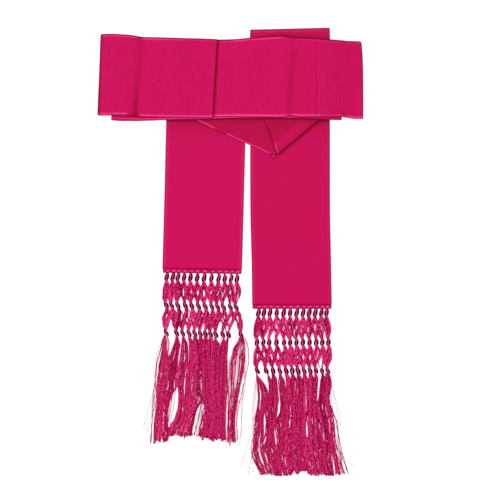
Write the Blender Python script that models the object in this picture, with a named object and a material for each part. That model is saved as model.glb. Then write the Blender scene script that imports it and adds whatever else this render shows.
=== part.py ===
"""A band cincture with netted fringes, laid folded on a flat surface.

Seen from above, X runs to the right, Y from the fringes up to the waist strip, and Z up from the surface.
Every size and table is in millimetres, from the middle of the object, and every level is from the surface.
"""
import bpy
import bmesh
import numpy as np

MM = 0.001

# The cloth: its wall, the space between two layers, the step from one layer to the next, and the space
# between two stretches that follow each other.
WALL = 1.0
GAP = 0.3
LAYER = WALL + GAP
SEAM = 0.3

# Strips across each wall, the furthest between stations along a waving or a flat one, and steps round a fold.
STRIPS_ACROSS = 4
STATION_STEP = 14.0
FLAT_STEP = 80.0
FOLD_STEPS = 5

# The levels of the falls' layers, at the middle of each wall.
TAIL_LEVEL = WALL / 2
UNDER_LEVEL = TAIL_LEVEL + LAYER
OVER_LEVEL = UNDER_LEVEL + LAYER

# The netted fringe: its rolled hem edge, its knots, the bundles between knots, and the free locks.
HEM_EDGE_HEIGHT = 6.4
LOOP_RISE = 1.0
KNOT_HALF_WIDTH = 2.7
KNOT_LENGTH = 10.0
KNOT_TOP = 4.6
KNOT_SHOULDERS = (1.4, 3.2)
KNOT_BELLY = 0.24
ROOT_HALF_WIDTH = 2.0
ROOT_LOW = 1.0
ROOT_HIGH = 2.6
FLOOR_CLEARANCE = 0.25
# The hem edge's section. columns: share of its height down from the tail's hem, level, whether loops lift it
HEM_EDGE_SECTION = (
    (0.0, 0.0, 0),
    (0.0, 1.2, 0),
    (0.45, 2.0, 1),
    (1.0, ROOT_HIGH, 0),
    (1.0, ROOT_LOW, 0),
    (0.6, 0.0, 0),
)
HEM_FRONT_ROW = 3
BUNDLE_HALF_WIDTH = 2.3
BUNDLE_THICKNESS = 1.1
# columns: share of the way between two knots, share of the full width there
BUNDLE_STATIONS = ((0.2, 0.68), (0.5, 1.0), (0.8, 0.68))
BUNDLE_OVER = 2.6
BUNDLE_UNDER = 0.9
EDGE_BOW = 3.2
STRANDS_IN_A_LOCK = 5
STRAND_THICKNESS = 1.2
LOCK_HALF_WIDTH_MOST = 5.0
LOCK_CLEARANCE = 0.35
STRAND_SHARE = 0.76
STRAND_LEVELS = (0.85, 1.27, 1.69)
LOCK_STATIONS = (0.14, 0.42, 0.72, 1.0)
END_TAPER = 0.45
END_STEPS = (0.0, 0.012, 0.024, 0.036)

FUCHSIA = (0.62, 0.008, 0.11, 1.0)
FUCHSIA_DEEP = (0.52, 0.006, 0.09, 1.0)


# The waist strip's stations: where its upper and lower selvages pass, from the hemmed end to each fold.
# columns: upper x, upper y, lower x, lower y
FRONT_LAP = (
    (-23.0, 350.0, -30.5, 222.0),
    (-44.0, 350.8, -51.0, 222.3),
    (-66.5, 351.5, -73.0, 222.5),
    (-108.0, 352.0, -116.0, 223.5),
    (-129.0, 352.5, -139.0, 224.5),
    (-145.5, 353.0, -157.0, 224.5),
    (-162.0, 356.5, -172.0, 226.5),
    (-178.5, 358.0, -185.0, 227.5),
    (-195.0, 358.5, -201.5, 227.0),
    (-209.4, 357.0, -216.2, 227.0),
)
FRONT_STRETCH = (
    (-188.5, 347.5, -191.5, 224.0),
    (-116.0, 347.5, -116.0, 222.5),
    (-22.0, 349.0, -29.5, 222.5),
    (32.0, 350.5, 32.0, 222.0),
    (65.0, 353.0, 65.0, 222.0),
    (86.5, 354.0, 88.0, 222.5),
    (99.5, 352.0, 96.5, 224.0),
    (114.5, 351.0, 114.5, 223.0),
    (141.5, 350.0, 142.5, 223.0),
    (163.5, 349.0, 163.5, 222.5),
    (184.5, 347.8, 184.5, 223.3),
    (191.0, 347.3, 190.0, 223.0),
    (200.0, 346.5, 200.0, 221.0),
    (212.0, 346.0, 216.2, 220.2),
)
# Between the two end folds. Its first and last stations lie along them, and are worked out from them.
BACK_STRETCH = (
    (-150.0, 349.5, -157.0, 227.0),
    (-60.0, 347.0, -60.0, 225.0),
    (60.0, 347.0, 60.0, 225.0),
    (150.0, 346.5, 150.0, 225.0),
)
# columns: x, upper edge y, lower edge y
INNER_TURNS = (
    (-195.0, 345.0, 218.6),
    (-192.0, 346.5, 217.8),
    (-149.0, 346.5, 217.5),
    (-108.0, 346.5, 219.0),
    (-42.0, 346.5, 219.5),
    (32.0, 347.0, 220.5),
    (98.0, 347.0, 220.0),
    (140.5, 346.5, 218.0),
    (182.5, 345.0, 217.5),
)

# How high the underside of the waist strip's stack lies: it rests on the falls and droops beyond them.
# columns: x, height
STACK_REST = (
    (-196.0, 0.0),
    (-152.0, 0.0),
    (-112.0, 1.4),
    (-86.0, 2.7),
    (-4.0, 2.7),
    (27.0, 4.0),
    (184.5, 4.0),
    (209.0, 0.0),
)
# How high the front turn's underside lies over the stack's rest, with its soft troughs and ridges.
# columns: x, height
FRONT_STRETCH_RISE = (
    (-196.0, 3.9),
    (62.0, 3.9),
    (82.0, 4.5),
    (98.0, 3.9),
    (120.0, 4.35),
    (142.0, 3.9),
    (164.0, 4.5),
    (184.5, 3.95),
    (190.5, 3.1),
    (200.0, 3.5),
    (214.0, 3.0),
)
# The same for the lap over it: a full roll at the left, then a pinched trough, then flat.
FRONT_LAP_RISE = (
    (-212.0, 3.6),
    (-202.0, 4.6),
    (-184.0, 6.5),
    (-166.0, 6.5),
    (-150.5, 5.2),
    (-134.0, 5.6),
    (-100.0, 5.2),
    (-40.0, 5.2),
    (-24.0, 5.35),
)
BACK_STRETCH_RISE = (
    (-196.0, 0.0),
    (214.0, 0.0),
)
# The hidden turns: two layers of cloth in one solid, with the space between them cut in at the edges only.
INNER_THICKNESS = LAYER + WALL
# columns: how far in from the solid's edge, level over its underside
INNER_EDGE = (
    (0.35, 0.0),
    (0.0, WALL / 2),
    (0.35, WALL),
    (1.2, WALL + GAP / 2),
    (0.9, LAYER),
    (0.55, LAYER + WALL / 2),
    (0.9, INNER_THICKNESS),
)

# The falls' selvages. columns: left x, left y, right x, right y
LEFT_TAIL = (
    (-102.0, 332.5, 28.5, 332.5),
    (-104.5, 217.5, 26.0, 217.5),
    (-108.0, 95.0, 22.3, 94.5),
    (-110.6, -26.8, 18.9, -28.8),
)
RIGHT_TAIL = (
    (36.4, -86.2, 165.5, -86.2),
    (34.6, 53.0, 164.5, 53.0),
    (33.4, 175.0, 163.2, 175.0),
    (33.0, 267.0, 163.0, 267.0),
    (32.8, 364.6, 163.0, 367.4),
)
RIGHT_TAIL_RETURN = (
    (33.2, 352.0, 163.2, 352.0),
    (34.2, 339.8, 163.6, 339.8),
)
DIAGONAL_OVER = (
    (34.5, 339.5, 163.7, 339.5),
    (41.0, 295.0, 167.5, 318.0),
    (47.0, 252.0, 172.0, 298.0),
    (55.0, 218.5, 176.5, 279.0),
    (66.5, 190.0, 180.0, 263.5),
    (77.5, 161.8, 183.0, 250.5),
)
# The first station of the stretch under it lies along the slanting fold, and is worked out from it.
DIAGONAL_UNDER = (
    (68.5, 161.0, 172.5, 257.5),
    (45.0, 171.0, 150.0, 266.0),
    (-4.0, 193.0, 88.0, 294.0),
    (-57.0, 219.0, 13.0, 329.0),
    (-79.0, 230.0, -25.0, 345.0),
)
FOLD_RETURN = 2.6

# Each fringe: one row for each knot column, left to right.
# columns: x at knot rows 1, 2 and 3, lock x a fifth, half and four fifths of the way down, end x, end y
LEFT_FRINGE_COLUMNS = (
    (-105.0, -106.0, -106.0, -108.5, -114.5, -117.5, -121.0, -312.5),
    (-95.0, -97.3, -89.0, -97.0, -102.0, -108.0, -111.5, -311.5),
    (-86.5, -87.0, -79.0, -83.0, -84.0, -81.5, -99.5, -304.0),
    (-76.5, -74.5, -68.5, -72.5, -75.5, -75.0, -88.0, -303.5),
    (-66.0, -64.0, -59.0, -63.5, -67.5, -68.5, -77.5, -304.0),
    (-55.0, -53.0, -50.0, -54.0, -58.5, -62.5, -68.0, -303.5),
    (-43.5, -42.0, -41.5, -44.5, -50.0, -56.5, -60.0, -305.0),
    (-31.5, -31.0, -33.0, -35.5, -38.0, -40.5, -47.0, -307.5),
    (-19.5, -21.5, -24.5, -27.0, -29.5, -31.5, -36.0, -309.0),
    (-9.5, -12.0, -13.0, -18.0, -20.5, -22.5, -26.0, -309.0),
    (1.0, -0.5, -3.5, -9.0, -11.5, -14.0, -15.5, -310.5),
    (10.5, 9.0, 17.0, 17.5, 9.0, 1.0, 1.5, -315.5),
)
RIGHT_FRINGE_COLUMNS = (
    (46.0, 43.5, 44.0, 52.0, 50.0, 46.0, 54.5, -366.5),
    (55.0, 54.0, 58.5, 63.5, 61.5, 59.5, 65.0, -368.5),
    (65.0, 63.5, 70.0, 72.5, 71.5, 69.0, 75.5, -369.0),
    (76.0, 75.5, 81.0, 83.0, 83.5, 82.0, 86.5, -368.5),
    (87.5, 88.0, 91.5, 93.5, 94.5, 93.0, 98.0, -366.5),
    (98.0, 98.0, 101.5, 103.5, 104.5, 103.0, 108.5, -365.0),
    (109.0, 108.5, 111.0, 113.5, 114.0, 113.5, 120.0, -361.5),
    (119.5, 119.0, 121.0, 122.5, 123.5, 126.5, 132.5, -366.5),
    (129.5, 130.0, 131.0, 132.0, 133.0, 136.5, 144.0, -368.5),
    (139.5, 141.0, 140.5, 141.5, 143.0, 146.5, 155.5, -368.5),
    (149.5, 151.0, 150.5, 151.0, 153.0, 156.5, 166.5, -368.5),
    (158.0, 161.0, 160.0, 160.5, 162.5, 166.5, 177.5, -365.0),
)
# Where a fringe's hem edge hangs from its tail, and the middle of each knot row.
# columns: left x, left y, right x, right y, knot row 1 y, knot row 2 y, knot row 3 y, fall of the rows
LEFT_FRINGE_PLACE = (-111.8, -27.1, 18.6, -29.1, -40.5, -87.0, -132.5, 3.5)
RIGHT_FRINGE_PLACE = (35.6, -86.5, 166.6, -86.5, -99.5, -148.5, -195.0, 0.0)


def eased(x, table):
    """Heights read from a table of (x, height) rows, with a smooth step from each row to the next."""
    rows = np.array(table)
    at = np.clip(x, rows[0, 0], rows[-1, 0])
    row = np.clip(np.searchsorted(rows[:, 0], at, side="right") - 1, 0, len(rows) - 2)
    share = (at - rows[row, 0]) / (rows[row + 1, 0] - rows[row, 0])
    step = share * share * (3 - 2 * share)
    return rows[row, 1] + (rows[row + 1, 1] - rows[row, 1]) * step


def subdivided(rows, step):
    """More stations along a stretch, no further apart than step, on straight lines between its rows."""
    finer = [rows[:1]]
    for near, far in zip(rows[:-1], rows[1:]):
        count = int(np.ceil(np.abs(far - near).max() / step))
        share = np.linspace(0, 1, count + 1)[1:, None]
        finer.append(near + (far - near) * share)
    return np.concatenate(finer)


def between_selvages(table, step):
    """The (x, y) points across a stretch at every station, in even steps from one selvage to the other."""
    rows = subdivided(np.array(table), step)
    share = np.linspace(0, 1, STRIPS_ACROSS + 1)[None, :, None]
    return rows[:, None, :2] * (1 - share) + rows[:, None, 2:4] * share


def raised(plan, level):
    """A grid of (x, y, z) points from a plan of (x, y) points and their level."""
    return np.concatenate([plan, np.broadcast_to(level, plan.shape[:2])[..., None]], axis=2)


def flat_stretch(table, level):
    """The middle of a wall that lies flat at one level."""
    return raised(between_selvages(table, FLAT_STEP), level)


def waist_stretch(table, rise):
    """The middle of a waist layer's wall: it lies over the stack's rest, by its own table of rises."""
    plan = between_selvages(table, STATION_STEP)
    return raised(plan, eased(plan[..., 0], STACK_REST) + eased(plan[..., 0], rise) + WALL / 2)


def fold(row, outward, low_level, back=FOLD_RETURN):
    """The rows of a half round fold that leaves a row of points, swells outward and returns under it."""
    radius = (row[:, 2] - low_level) / 2
    turned = []
    for angle in np.linspace(0, np.pi, FOLD_STEPS + 1)[1:]:
        bent = row.copy()
        bent[:, :2] += radius[:, None] * np.sin(angle) * outward
        bent[:, 2] = low_level + radius * (1 + np.cos(angle))
        turned.append(bent)
    last = turned[-1].copy()
    last[:, :2] -= back * outward
    turned.append(last)
    return np.array(turned)


def normals(grid):
    """The unit normal at each point of a grid, from its neighbours along and across the stretch."""
    along = np.gradient(grid, axis=0)
    across = np.gradient(grid, axis=1)
    upright = np.cross(along, across)
    return upright / np.linalg.norm(upright, axis=2, keepdims=True)


def new_object(name, points, faces, colour, roughness):
    """A closed mesh object with its own cloth material, its faces turned out."""
    shell = bmesh.new()
    corners = [shell.verts.new(point) for point in np.asarray(points) * MM]
    for face in faces:
        shell.faces.new([corners[i] for i in face])
    bmesh.ops.recalc_face_normals(shell, faces=shell.faces)
    mesh = bpy.data.meshes.new(name)
    shell.to_mesh(mesh)
    shell.free()
    mesh.shade_smooth()
    mesh.set_sharp_from_angle(angle=np.radians(40))
    material = bpy.data.materials.new(name + "_cloth")
    material.use_nodes = True
    shader = material.node_tree.nodes["Principled BSDF"]
    shader.inputs["Base Color"].default_value = colour
    shader.inputs["Roughness"].default_value = roughness
    shader.inputs["Metallic"].default_value = 0.0
    mesh.materials.append(material)
    made = bpy.data.objects.new(name, mesh)
    bpy.context.scene.collection.objects.link(made)
    return made


def cloth_wall(name, grid, colour=FUCHSIA):
    """A closed wall on both sides of a grid of points, WALL thick, with its four edges closed."""
    offset = normals(grid) * WALL / 2
    stations, across = grid.shape[:2]
    points = np.concatenate([(grid + offset).reshape(-1, 3), (grid - offset).reshape(-1, 3)])
    other = stations * across
    index = np.arange(other).reshape(stations, across)
    faces = []
    for i in range(stations - 1):
        for j in range(across - 1):
            a, b, c, d = index[i, j], index[i + 1, j], index[i + 1, j + 1], index[i, j + 1]
            faces.append((a, b, c, d))
            faces.append((d + other, c + other, b + other, a + other))
    rim = np.concatenate([index[:, 0], index[-1, 1:], index[-2::-1, -1], index[0, -2:0:-1]])
    for here, there in zip(rim, np.roll(rim, -1)):
        faces.append((here, there, there + other, here + other))
    return new_object(name, points, faces, colour, 0.75)


def make_waist_strip():
    """The stretches that show: the lap, the turn under it, and the turn at the back between their folds."""
    lap = waist_stretch(FRONT_LAP, FRONT_LAP_RISE)
    lap_out = np.array([-1.0, 0.0])
    cloth_wall("front_lap", np.concatenate([lap, fold(lap[-1], lap_out, TAIL_LEVEL)]))

    front = waist_stretch(FRONT_STRETCH, FRONT_STRETCH_RISE)
    front_out = np.array([1.0, 0.0])
    cloth_wall("front_stretch", np.concatenate([front, fold(front[-1], front_out, TAIL_LEVEL)]))

    inward = FOLD_RETURN + SEAM
    first = np.concatenate([lap[-1, end, :2] - lap_out * inward for end in (0, -1)])
    last = np.concatenate([front[-1, end, :2] - front_out * inward for end in (0, -1)])
    back = waist_stretch((first, *BACK_STRETCH, last), BACK_STRETCH_RISE)
    cloth_wall("back_stretch", back, FUCHSIA_DEEP)


def make_inner_turns():
    """The hidden turns as one rounded solid, with a groove between its two layers at each edge."""
    rows = subdivided(np.array(INNER_TURNS), STATION_STEP)
    inset, level = np.array(INNER_EDGE).T
    points, faces = [], []
    for x, upper, lower in rows:
        rest = eased(x, STACK_REST) + LAYER
        near = np.column_stack([np.full(len(inset), x), lower + inset, rest + level])
        far = np.column_stack([np.full(len(inset), x), upper - inset, rest + level])[::-1]
        points.append(np.concatenate([near, far]))
    ring = len(points[0])
    for i in range(len(rows) - 1):
        for j in range(ring):
            k = (j + 1) % ring
            faces.append((i * ring + j, i * ring + k, (i + 1) * ring + k, (i + 1) * ring + j))
    for end in (0, len(rows) - 1):
        for j in range(ring // 2 - 1):
            a, b = end * ring + j, end * ring + j + 1
            c, d = end * ring + ring - 2 - j, end * ring + ring - 1 - j
            faces.append((a, b, c, d))
    return new_object("inner_turns", np.concatenate(points), faces, FUCHSIA_DEEP, 0.8)


def make_falls():
    """The strip of the two falls: the right tail and its fold, the slanting turn, and the left tail."""
    cloth_wall("left_tail", flat_stretch(LEFT_TAIL, TAIL_LEVEL))

    # The right tail's fold is worked out downwards, from the returning stretch to the tail, and so turned round.
    tail = flat_stretch(RIGHT_TAIL, TAIL_LEVEL)
    returning = flat_stretch(RIGHT_TAIL_RETURN, OVER_LEVEL)
    over_top = raised(tail[-1:, :, :2], OVER_LEVEL)
    half_round = fold(over_top[0], np.array([0.0, 1.0]), TAIL_LEVEL, 0.0)[-3::-1]
    cloth_wall("right_tail", np.concatenate([tail, half_round, over_top, returning]))

    over = flat_stretch(DIAGONAL_OVER, OVER_LEVEL)
    line = over[-1, -1, :2] - over[-1, 0, :2]
    out = np.array([line[1], -line[0]]) / np.linalg.norm(line)
    cloth_wall("diagonal_over", np.concatenate([over, fold(over[-1], out, UNDER_LEVEL)]))

    start = raised(over[-1:, :, :2] - out * (FOLD_RETURN + SEAM), UNDER_LEVEL)
    under = flat_stretch(DIAGONAL_UNDER, UNDER_LEVEL)
    cloth_wall("diagonal_under", np.concatenate([start, under]))


class Fringe:
    """Points and faces of one fringe, gathered into a single closed skin."""

    def __init__(self):
        self.points = []
        self.faces = []

    def row(self, points):
        first = len(self.points)
        self.points.extend(points)
        return list(range(first, len(self.points)))

    def stitch(self, a, b):
        """Triangles between two rows of points, of equal or unequal counts."""
        i = j = 0
        while i < len(a) - 1 or j < len(b) - 1:
            a_next = (i + 1) / (len(a) - 1)
            b_next = (j + 1) / (len(b) - 1)
            if j == len(b) - 1 or (i < len(a) - 1 and a_next <= b_next):
                self.faces.append((a[i], a[i + 1], b[j]))
                i += 1
            else:
                self.faces.append((a[i], b[j + 1], b[j]))
                j += 1

    def band(self, near, far):
        """The skin between two flat rings, each given as its low row and its high row of points."""
        for k in (0, 1):
            self.stitch(near[k], far[k])
        for side in (0, -1):
            self.stitch([near[0][side], near[1][side]], [far[0][side], far[1][side]])

    def tube(self, rings, closed_end):
        """A four-sided tube through rings of four points, capped at its end if nothing takes it."""
        for near, far in zip(rings[:-1], rings[1:]):
            self.stitch(near + near[:1], far + far[:1])
        if closed_end:
            self.faces.append(tuple(rings[-1]))

    def section(self, x, y, level, half_width, thickness):
        """A ring of four points round a bundle that runs down the fringe."""
        low, high = level - thickness / 2, level + thickness / 2
        return self.row([(x - half_width, y, low), (x + half_width, y, low),
                         (x + half_width, y, high), (x - half_width, y, high)])

    def root(self, low, high, column):
        return [low[column], low[column + 1], high[column + 1], high[column]]

    def root_rows(self, x, y, columns):
        """The low and high rows of points that a knot's bundles or strands spring from."""
        across = np.linspace(x - ROOT_HALF_WIDTH, x + ROOT_HALF_WIDTH, columns + 1)
        return (self.row([(each, y, ROOT_LOW) for each in across]),
                self.row([(each, y, ROOT_HIGH) for each in across]))

    def knot(self, x, y, strands_below):
        """A round knot between its upper roots and its lower ones, which it returns."""
        above = self.root_rows(x, y + KNOT_LENGTH / 2, 2)
        below = self.root_rows(x, y - KNOT_LENGTH / 2, strands_below)
        left, right = x - KNOT_HALF_WIDTH, x + KNOT_HALF_WIDTH
        shoulder_low, shoulder_high = KNOT_SHOULDERS
        rings = []
        for share in (KNOT_BELLY, -KNOT_BELLY):
            at = y + share * KNOT_LENGTH
            low = self.row([(left, at, shoulder_low), (x, at, FLOOR_CLEARANCE), (right, at, shoulder_low)])
            high = self.row([(left, at, shoulder_high), (x, at, KNOT_TOP), (right, at, shoulder_high)])
            rings.append((low, high))
        for near, far in zip([above, *rings], [*rings, below]):
            self.band(near, far)
        return above, below


def make_hem_edge(fringe, place, knots_x):
    """The rolled edge under the tail's hem, with a loop over each knot. Returns the roots under it."""
    left_x, left_y, right_x, right_y = place[:4]
    columns = [left_x]
    for x in knots_x:
        columns += [x - ROOT_HALF_WIDTH, x, x + ROOT_HALF_WIDTH]
    columns.append(right_x)
    xs = np.array(columns)
    top = left_y + (right_y - left_y) * (xs - left_x) / (right_x - left_x)
    loops = np.zeros(len(xs))
    loops[2:-1:3] = LOOP_RISE
    rows = []
    for down, level, lifts in HEM_EDGE_SECTION:
        y = top - down * HEM_EDGE_HEIGHT
        rows.append(fringe.row(list(zip(xs, y, level + lifts * loops))))
    for k in range(len(rows)):
        near, far = rows[k], rows[(k + 1) % len(rows)]
        for i in range(len(xs) - 1):
            is_root = k == HEM_FRONT_ROW and i % 3 != 0
            if not is_root:
                fringe.faces.append((near[i], near[i + 1], far[i + 1], far[i]))
    for side in (0, -1):
        fringe.faces.append(tuple(row[side] for row in rows))
    high, low = rows[HEM_FRONT_ROW], rows[HEM_FRONT_ROW + 1]
    return [([low[c], low[c + 1], low[c + 2]], [high[c], high[c + 1], high[c + 2]])
            for c in range(1, len(xs) - 1, 3)]


def make_fringe(name, columns, place):
    """One netted fringe: hem edge, three rows of knots, crossing bundles between them and free locks."""
    fringe = Fringe()
    table = np.array(columns)
    count = len(table)
    fall = place[7] * (table[:, 0] - table[0, 0]) / (table[-1, 0] - table[0, 0])
    rows_y = [place[4] - fall, place[5] - fall, place[6] - fall]

    hung_from = make_hem_edge(fringe, place, table[:, 0])
    knots = []
    for row in range(3):
        strands = STRANDS_IN_A_LOCK if row == 2 else 2
        knots.append([fringe.knot(table[i, row], rows_y[row][i], strands) for i in range(count)])

    for i in range(count):
        fringe.band(hung_from[i], knots[0][i][0])

    for row in (0, 1):
        for i in range(count):
            for side in (0, 1):
                j = i + (1 if side else -1)
                turns_back = j < 0 or j >= count
                target = min(max(j, 0), count - 1)
                end_side = side if turns_back else 1 - side
                rings = [fringe.root(*knots[row][i][1], side)]
                x_from = table[i, row] + (side - 0.5) * ROOT_HALF_WIDTH
                x_to = table[target, row + 1] + (end_side - 0.5) * ROOT_HALF_WIDTH
                y_from = rows_y[row][i] - KNOT_LENGTH / 2
                y_to = rows_y[row + 1][target] + KNOT_LENGTH / 2
                over = side == (row + 1) % 2
                level = BUNDLE_OVER if over else BUNDLE_UNDER
                for share, swell in BUNDLE_STATIONS:
                    x = x_from + (x_to - x_from) * share
                    if turns_back:
                        x += (side - 0.5) * 2 * EDGE_BOW * swell
                    y = y_from + (y_to - y_from) * share
                    rings.append(fringe.section(x, y, level, BUNDLE_HALF_WIDTH * swell,
                                                BUNDLE_THICKNESS))
                rings.append(fringe.root(*knots[row + 1][target][0], end_side))
                fringe.tube(rings, False)

    station_x = np.column_stack([table[:, 3], table[:, 4], table[:, 5], table[:, 6]])
    gaps = np.diff(station_x, axis=0)
    to_left = np.vstack([gaps[:1], gaps])
    to_right = np.vstack([gaps, gaps[-1:]])
    half = np.minimum(np.minimum(to_left, to_right) / 2 - LOCK_CLEARANCE, LOCK_HALF_WIDTH_MOST)
    for i in range(count):
        y_root = rows_y[2][i] - KNOT_LENGTH / 2
        for s in range(STRANDS_IN_A_LOCK):
            spread = (s + 0.5) / STRANDS_IN_A_LOCK * 2 - 1
            rings = [fringe.root(*knots[2][i][1], s)]
            for k, share in enumerate(LOCK_STATIONS):
                is_end = k == len(LOCK_STATIONS) - 1
                reach = share - END_STEPS[(s * 3 + i) % 4] if is_end else share
                x = np.interp(reach, LOCK_STATIONS, station_x[i] + spread * half[i])
                y = y_root + (table[i, 7] - y_root) * reach
                level = STRAND_LEVELS[(s * 2 + i + k) % 3]
                width = STRAND_SHARE * half[i, k] / STRANDS_IN_A_LOCK * (END_TAPER if is_end else 1)
                rings.append(fringe.section(x, y, level, width, STRAND_THICKNESS))
            fringe.tube(rings, True)
    return new_object(name, fringe.points, fringe.faces, FUCHSIA_DEEP, 0.6)


def stand_on_origin(objects):
    """Moves every object by one vector, so that the origin is under the middle of the whole."""
    corners = np.concatenate([[tuple(vertex.co) for vertex in made.data.vertices] for made in objects])
    low, high = corners.min(0), corners.max(0)
    for made in objects:
        made.location = (-(low[0] + high[0]) / 2, -(low[1] + high[1]) / 2, -low[2])


for old in list(bpy.data.objects):
    bpy.data.objects.remove(old, do_unlink=True)

make_waist_strip()
make_inner_turns()
make_falls()
make_fringe("left_fringe", LEFT_FRINGE_COLUMNS, LEFT_FRINGE_PLACE)
make_fringe("right_fringe", RIGHT_FRINGE_COLUMNS, RIGHT_FRINGE_PLACE)
stand_on_origin(list(bpy.data.objects))
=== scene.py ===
import bpy
import numpy as np
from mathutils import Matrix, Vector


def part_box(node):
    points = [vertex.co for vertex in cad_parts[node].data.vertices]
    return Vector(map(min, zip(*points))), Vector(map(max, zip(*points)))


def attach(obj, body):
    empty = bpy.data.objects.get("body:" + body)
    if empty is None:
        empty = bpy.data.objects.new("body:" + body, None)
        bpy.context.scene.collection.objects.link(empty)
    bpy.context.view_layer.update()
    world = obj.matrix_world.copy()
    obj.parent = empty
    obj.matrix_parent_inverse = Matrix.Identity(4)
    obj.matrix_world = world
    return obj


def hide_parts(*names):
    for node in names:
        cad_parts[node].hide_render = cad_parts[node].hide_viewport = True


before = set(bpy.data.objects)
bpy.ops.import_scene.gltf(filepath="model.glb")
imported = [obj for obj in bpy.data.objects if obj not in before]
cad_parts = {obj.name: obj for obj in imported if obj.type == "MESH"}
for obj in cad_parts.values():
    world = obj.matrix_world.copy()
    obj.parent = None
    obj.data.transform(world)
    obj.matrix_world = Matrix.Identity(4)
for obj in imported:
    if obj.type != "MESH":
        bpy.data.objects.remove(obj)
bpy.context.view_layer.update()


# The waist strip
# The outer turn of the long strip that goes round the waist: ribbed faille with firm, shiny selvages, whose
# shine is a painted highlight in the colour.
# Its hemmed end lies in front, it is turned under at the left, crosses behind, and comes back over the front
# from the right, where it is tacked down by one upright row of stitches.

# Every table is in millimetres, on the drawing whose left tail has this lowest x and highest y.
MM = 0.001
LEFT_TAIL_CORNER = (-110.6, 332.5)
tail_lowest, tail_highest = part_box("left_tail")
DRAWING_MIDDLE = np.array([tail_lowest.x / MM - LEFT_TAIL_CORNER[0],
                           tail_highest.y / MM - LEFT_TAIL_CORNER[1], 0.0])

CLOTH = 0.8                # the cloth's thickness
SELVAGE_SWELL = 0.24       # how much thicker its selvage is
SELVAGE_CENTRE = 1.25      # how far in from the edge the selvage's thickest line runs
SELVAGE_SPREAD = 0.75      # half the width of that thicker line
SELVAGE_STATIONS = (0.0, 0.35, 0.7, 1.05, 1.5, 2.1, 3.2, 5.0)  # where the grid's first lines run in from it
HEM_CENTRE = 1.6           # how far in from the end the hem's thickest line runs
HEM_SPREAD = 1.3
END_THICKNESS = 0.6        # a cut end's thickness, as a share of the cloth's
WALL = 1.0                 # what each layer takes up in the stack
LAYER = 1.3                # from one layer's underside to the next one's
FLOOR_LEVEL = 0.55         # the middle of a layer that lies on the surface
FOLD_ARC_STEPS = 12
EDGE_ARC = np.radians([90.0, 45.0, 0.0, -45.0, -90.0])

# columns: upper selvage x, y, lower selvage x, y
FRONT_LAP = (
    (-22.1, 349.3, -29.6, 221.2),
    (-44.0, 350.3, -51.0, 221.0),
    (-66.5, 350.9, -73.0, 221.3),
    (-108.0, 352.3, -116.0, 222.0),
    (-129.0, 352.9, -139.0, 222.7),
    (-145.5, 353.6, -157.0, 223.6),
    (-162.0, 356.3, -172.0, 225.3),
    (-178.5, 357.7, -185.0, 225.9),
    (-195.0, 358.6, -201.5, 225.1),
    (-211.6, 358.4, -216.3, 225.3),
)
BACK_STRETCH = (
    (-211.6, 358.4, -216.3, 225.3),
    (-150.0, 349.5, -157.0, 226.0),
    (-60.0, 347.0, -60.0, 225.0),
    (60.0, 347.0, 60.0, 225.0),
    (150.0, 346.5, 150.0, 225.0),
    (213.0, 346.5, 216.8, 219.6),
)
FRONT_STRETCH = (
    (213.0, 346.5, 216.8, 219.6),
    (200.0, 346.8, 200.0, 219.9),
    (191.0, 346.7, 190.0, 221.4),
    (184.5, 347.3, 184.5, 222.3),
    (163.5, 349.0, 163.5, 222.3),
    (141.5, 350.8, 142.5, 222.7),
    (114.5, 351.9, 114.5, 222.7),
    (99.5, 352.9, 96.5, 223.8),
    (86.5, 354.8, 88.0, 222.2),
    (65.0, 354.0, 65.0, 222.3),
    (32.0, 351.6, 32.0, 222.7),
    (8.0, 349.6, 4.0, 222.8),
    (-22.0, 348.9, -29.5, 222.6),
    (-116.0, 347.5, -116.0, 222.5),
    (-188.5, 347.5, -191.5, 224.0),
)
# How high the stack's underside lies, over the falls and beyond them. columns: x, height
STACK_REST = (
    (-196.0, 0.0), (-152.0, 0.0), (-112.0, 1.4), (-86.0, 2.7), (-4.0, 2.7),
    (27.0, 4.0), (184.5, 4.0), (209.0, 0.0),
)
# Where the lap's pinched crease runs. columns: y, x
LAP_CREASE = (
    (222.0, -155.8), (234.0, -155.5), (250.5, -154.7), (283.5, -150.6), (316.0, -147.3), (352.0, -144.6),
)
# The lap's height over the stack's rest. columns: how far right of the crease, height
LAP_RISE = (
    (-67.0, 3.9), (-54.0, 5.5), (-40.0, 6.4), (-12.0, 6.4),
    (20.0, 5.8), (45.0, 5.3), (110.0, 5.3), (126.0, 5.4),
)
# The front stretch's height over the stack's rest. columns: x, height
FRONT_RISE = (
    (-196.0, 3.9), (60.0, 3.9), (84.0, 4.6), (93.0, 4.7), (99.5, 4.15), (105.0, 4.4), (118.0, 4.5),
    (139.5, 4.0), (163.0, 4.6), (175.0, 4.55), (184.5, 3.95), (190.5, 3.3), (200.0, 3.6), (214.0, 3.0),
)


def eased(at, table):
    """Values read from a table of (place, value) rows, with a smooth step from each row to the next."""
    rows = np.array(table)
    at = np.clip(at, rows[0, 0], rows[-1, 0])
    row = np.clip(np.searchsorted(rows[:, 0], at, side="right") - 1, 0, len(rows) - 2)
    share = (at - rows[row, 0]) / (rows[row + 1, 0] - rows[row, 0])
    return rows[row, 1] + (rows[row + 1, 1] - rows[row, 1]) * share ** 2 * (3 - 2 * share)


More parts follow.
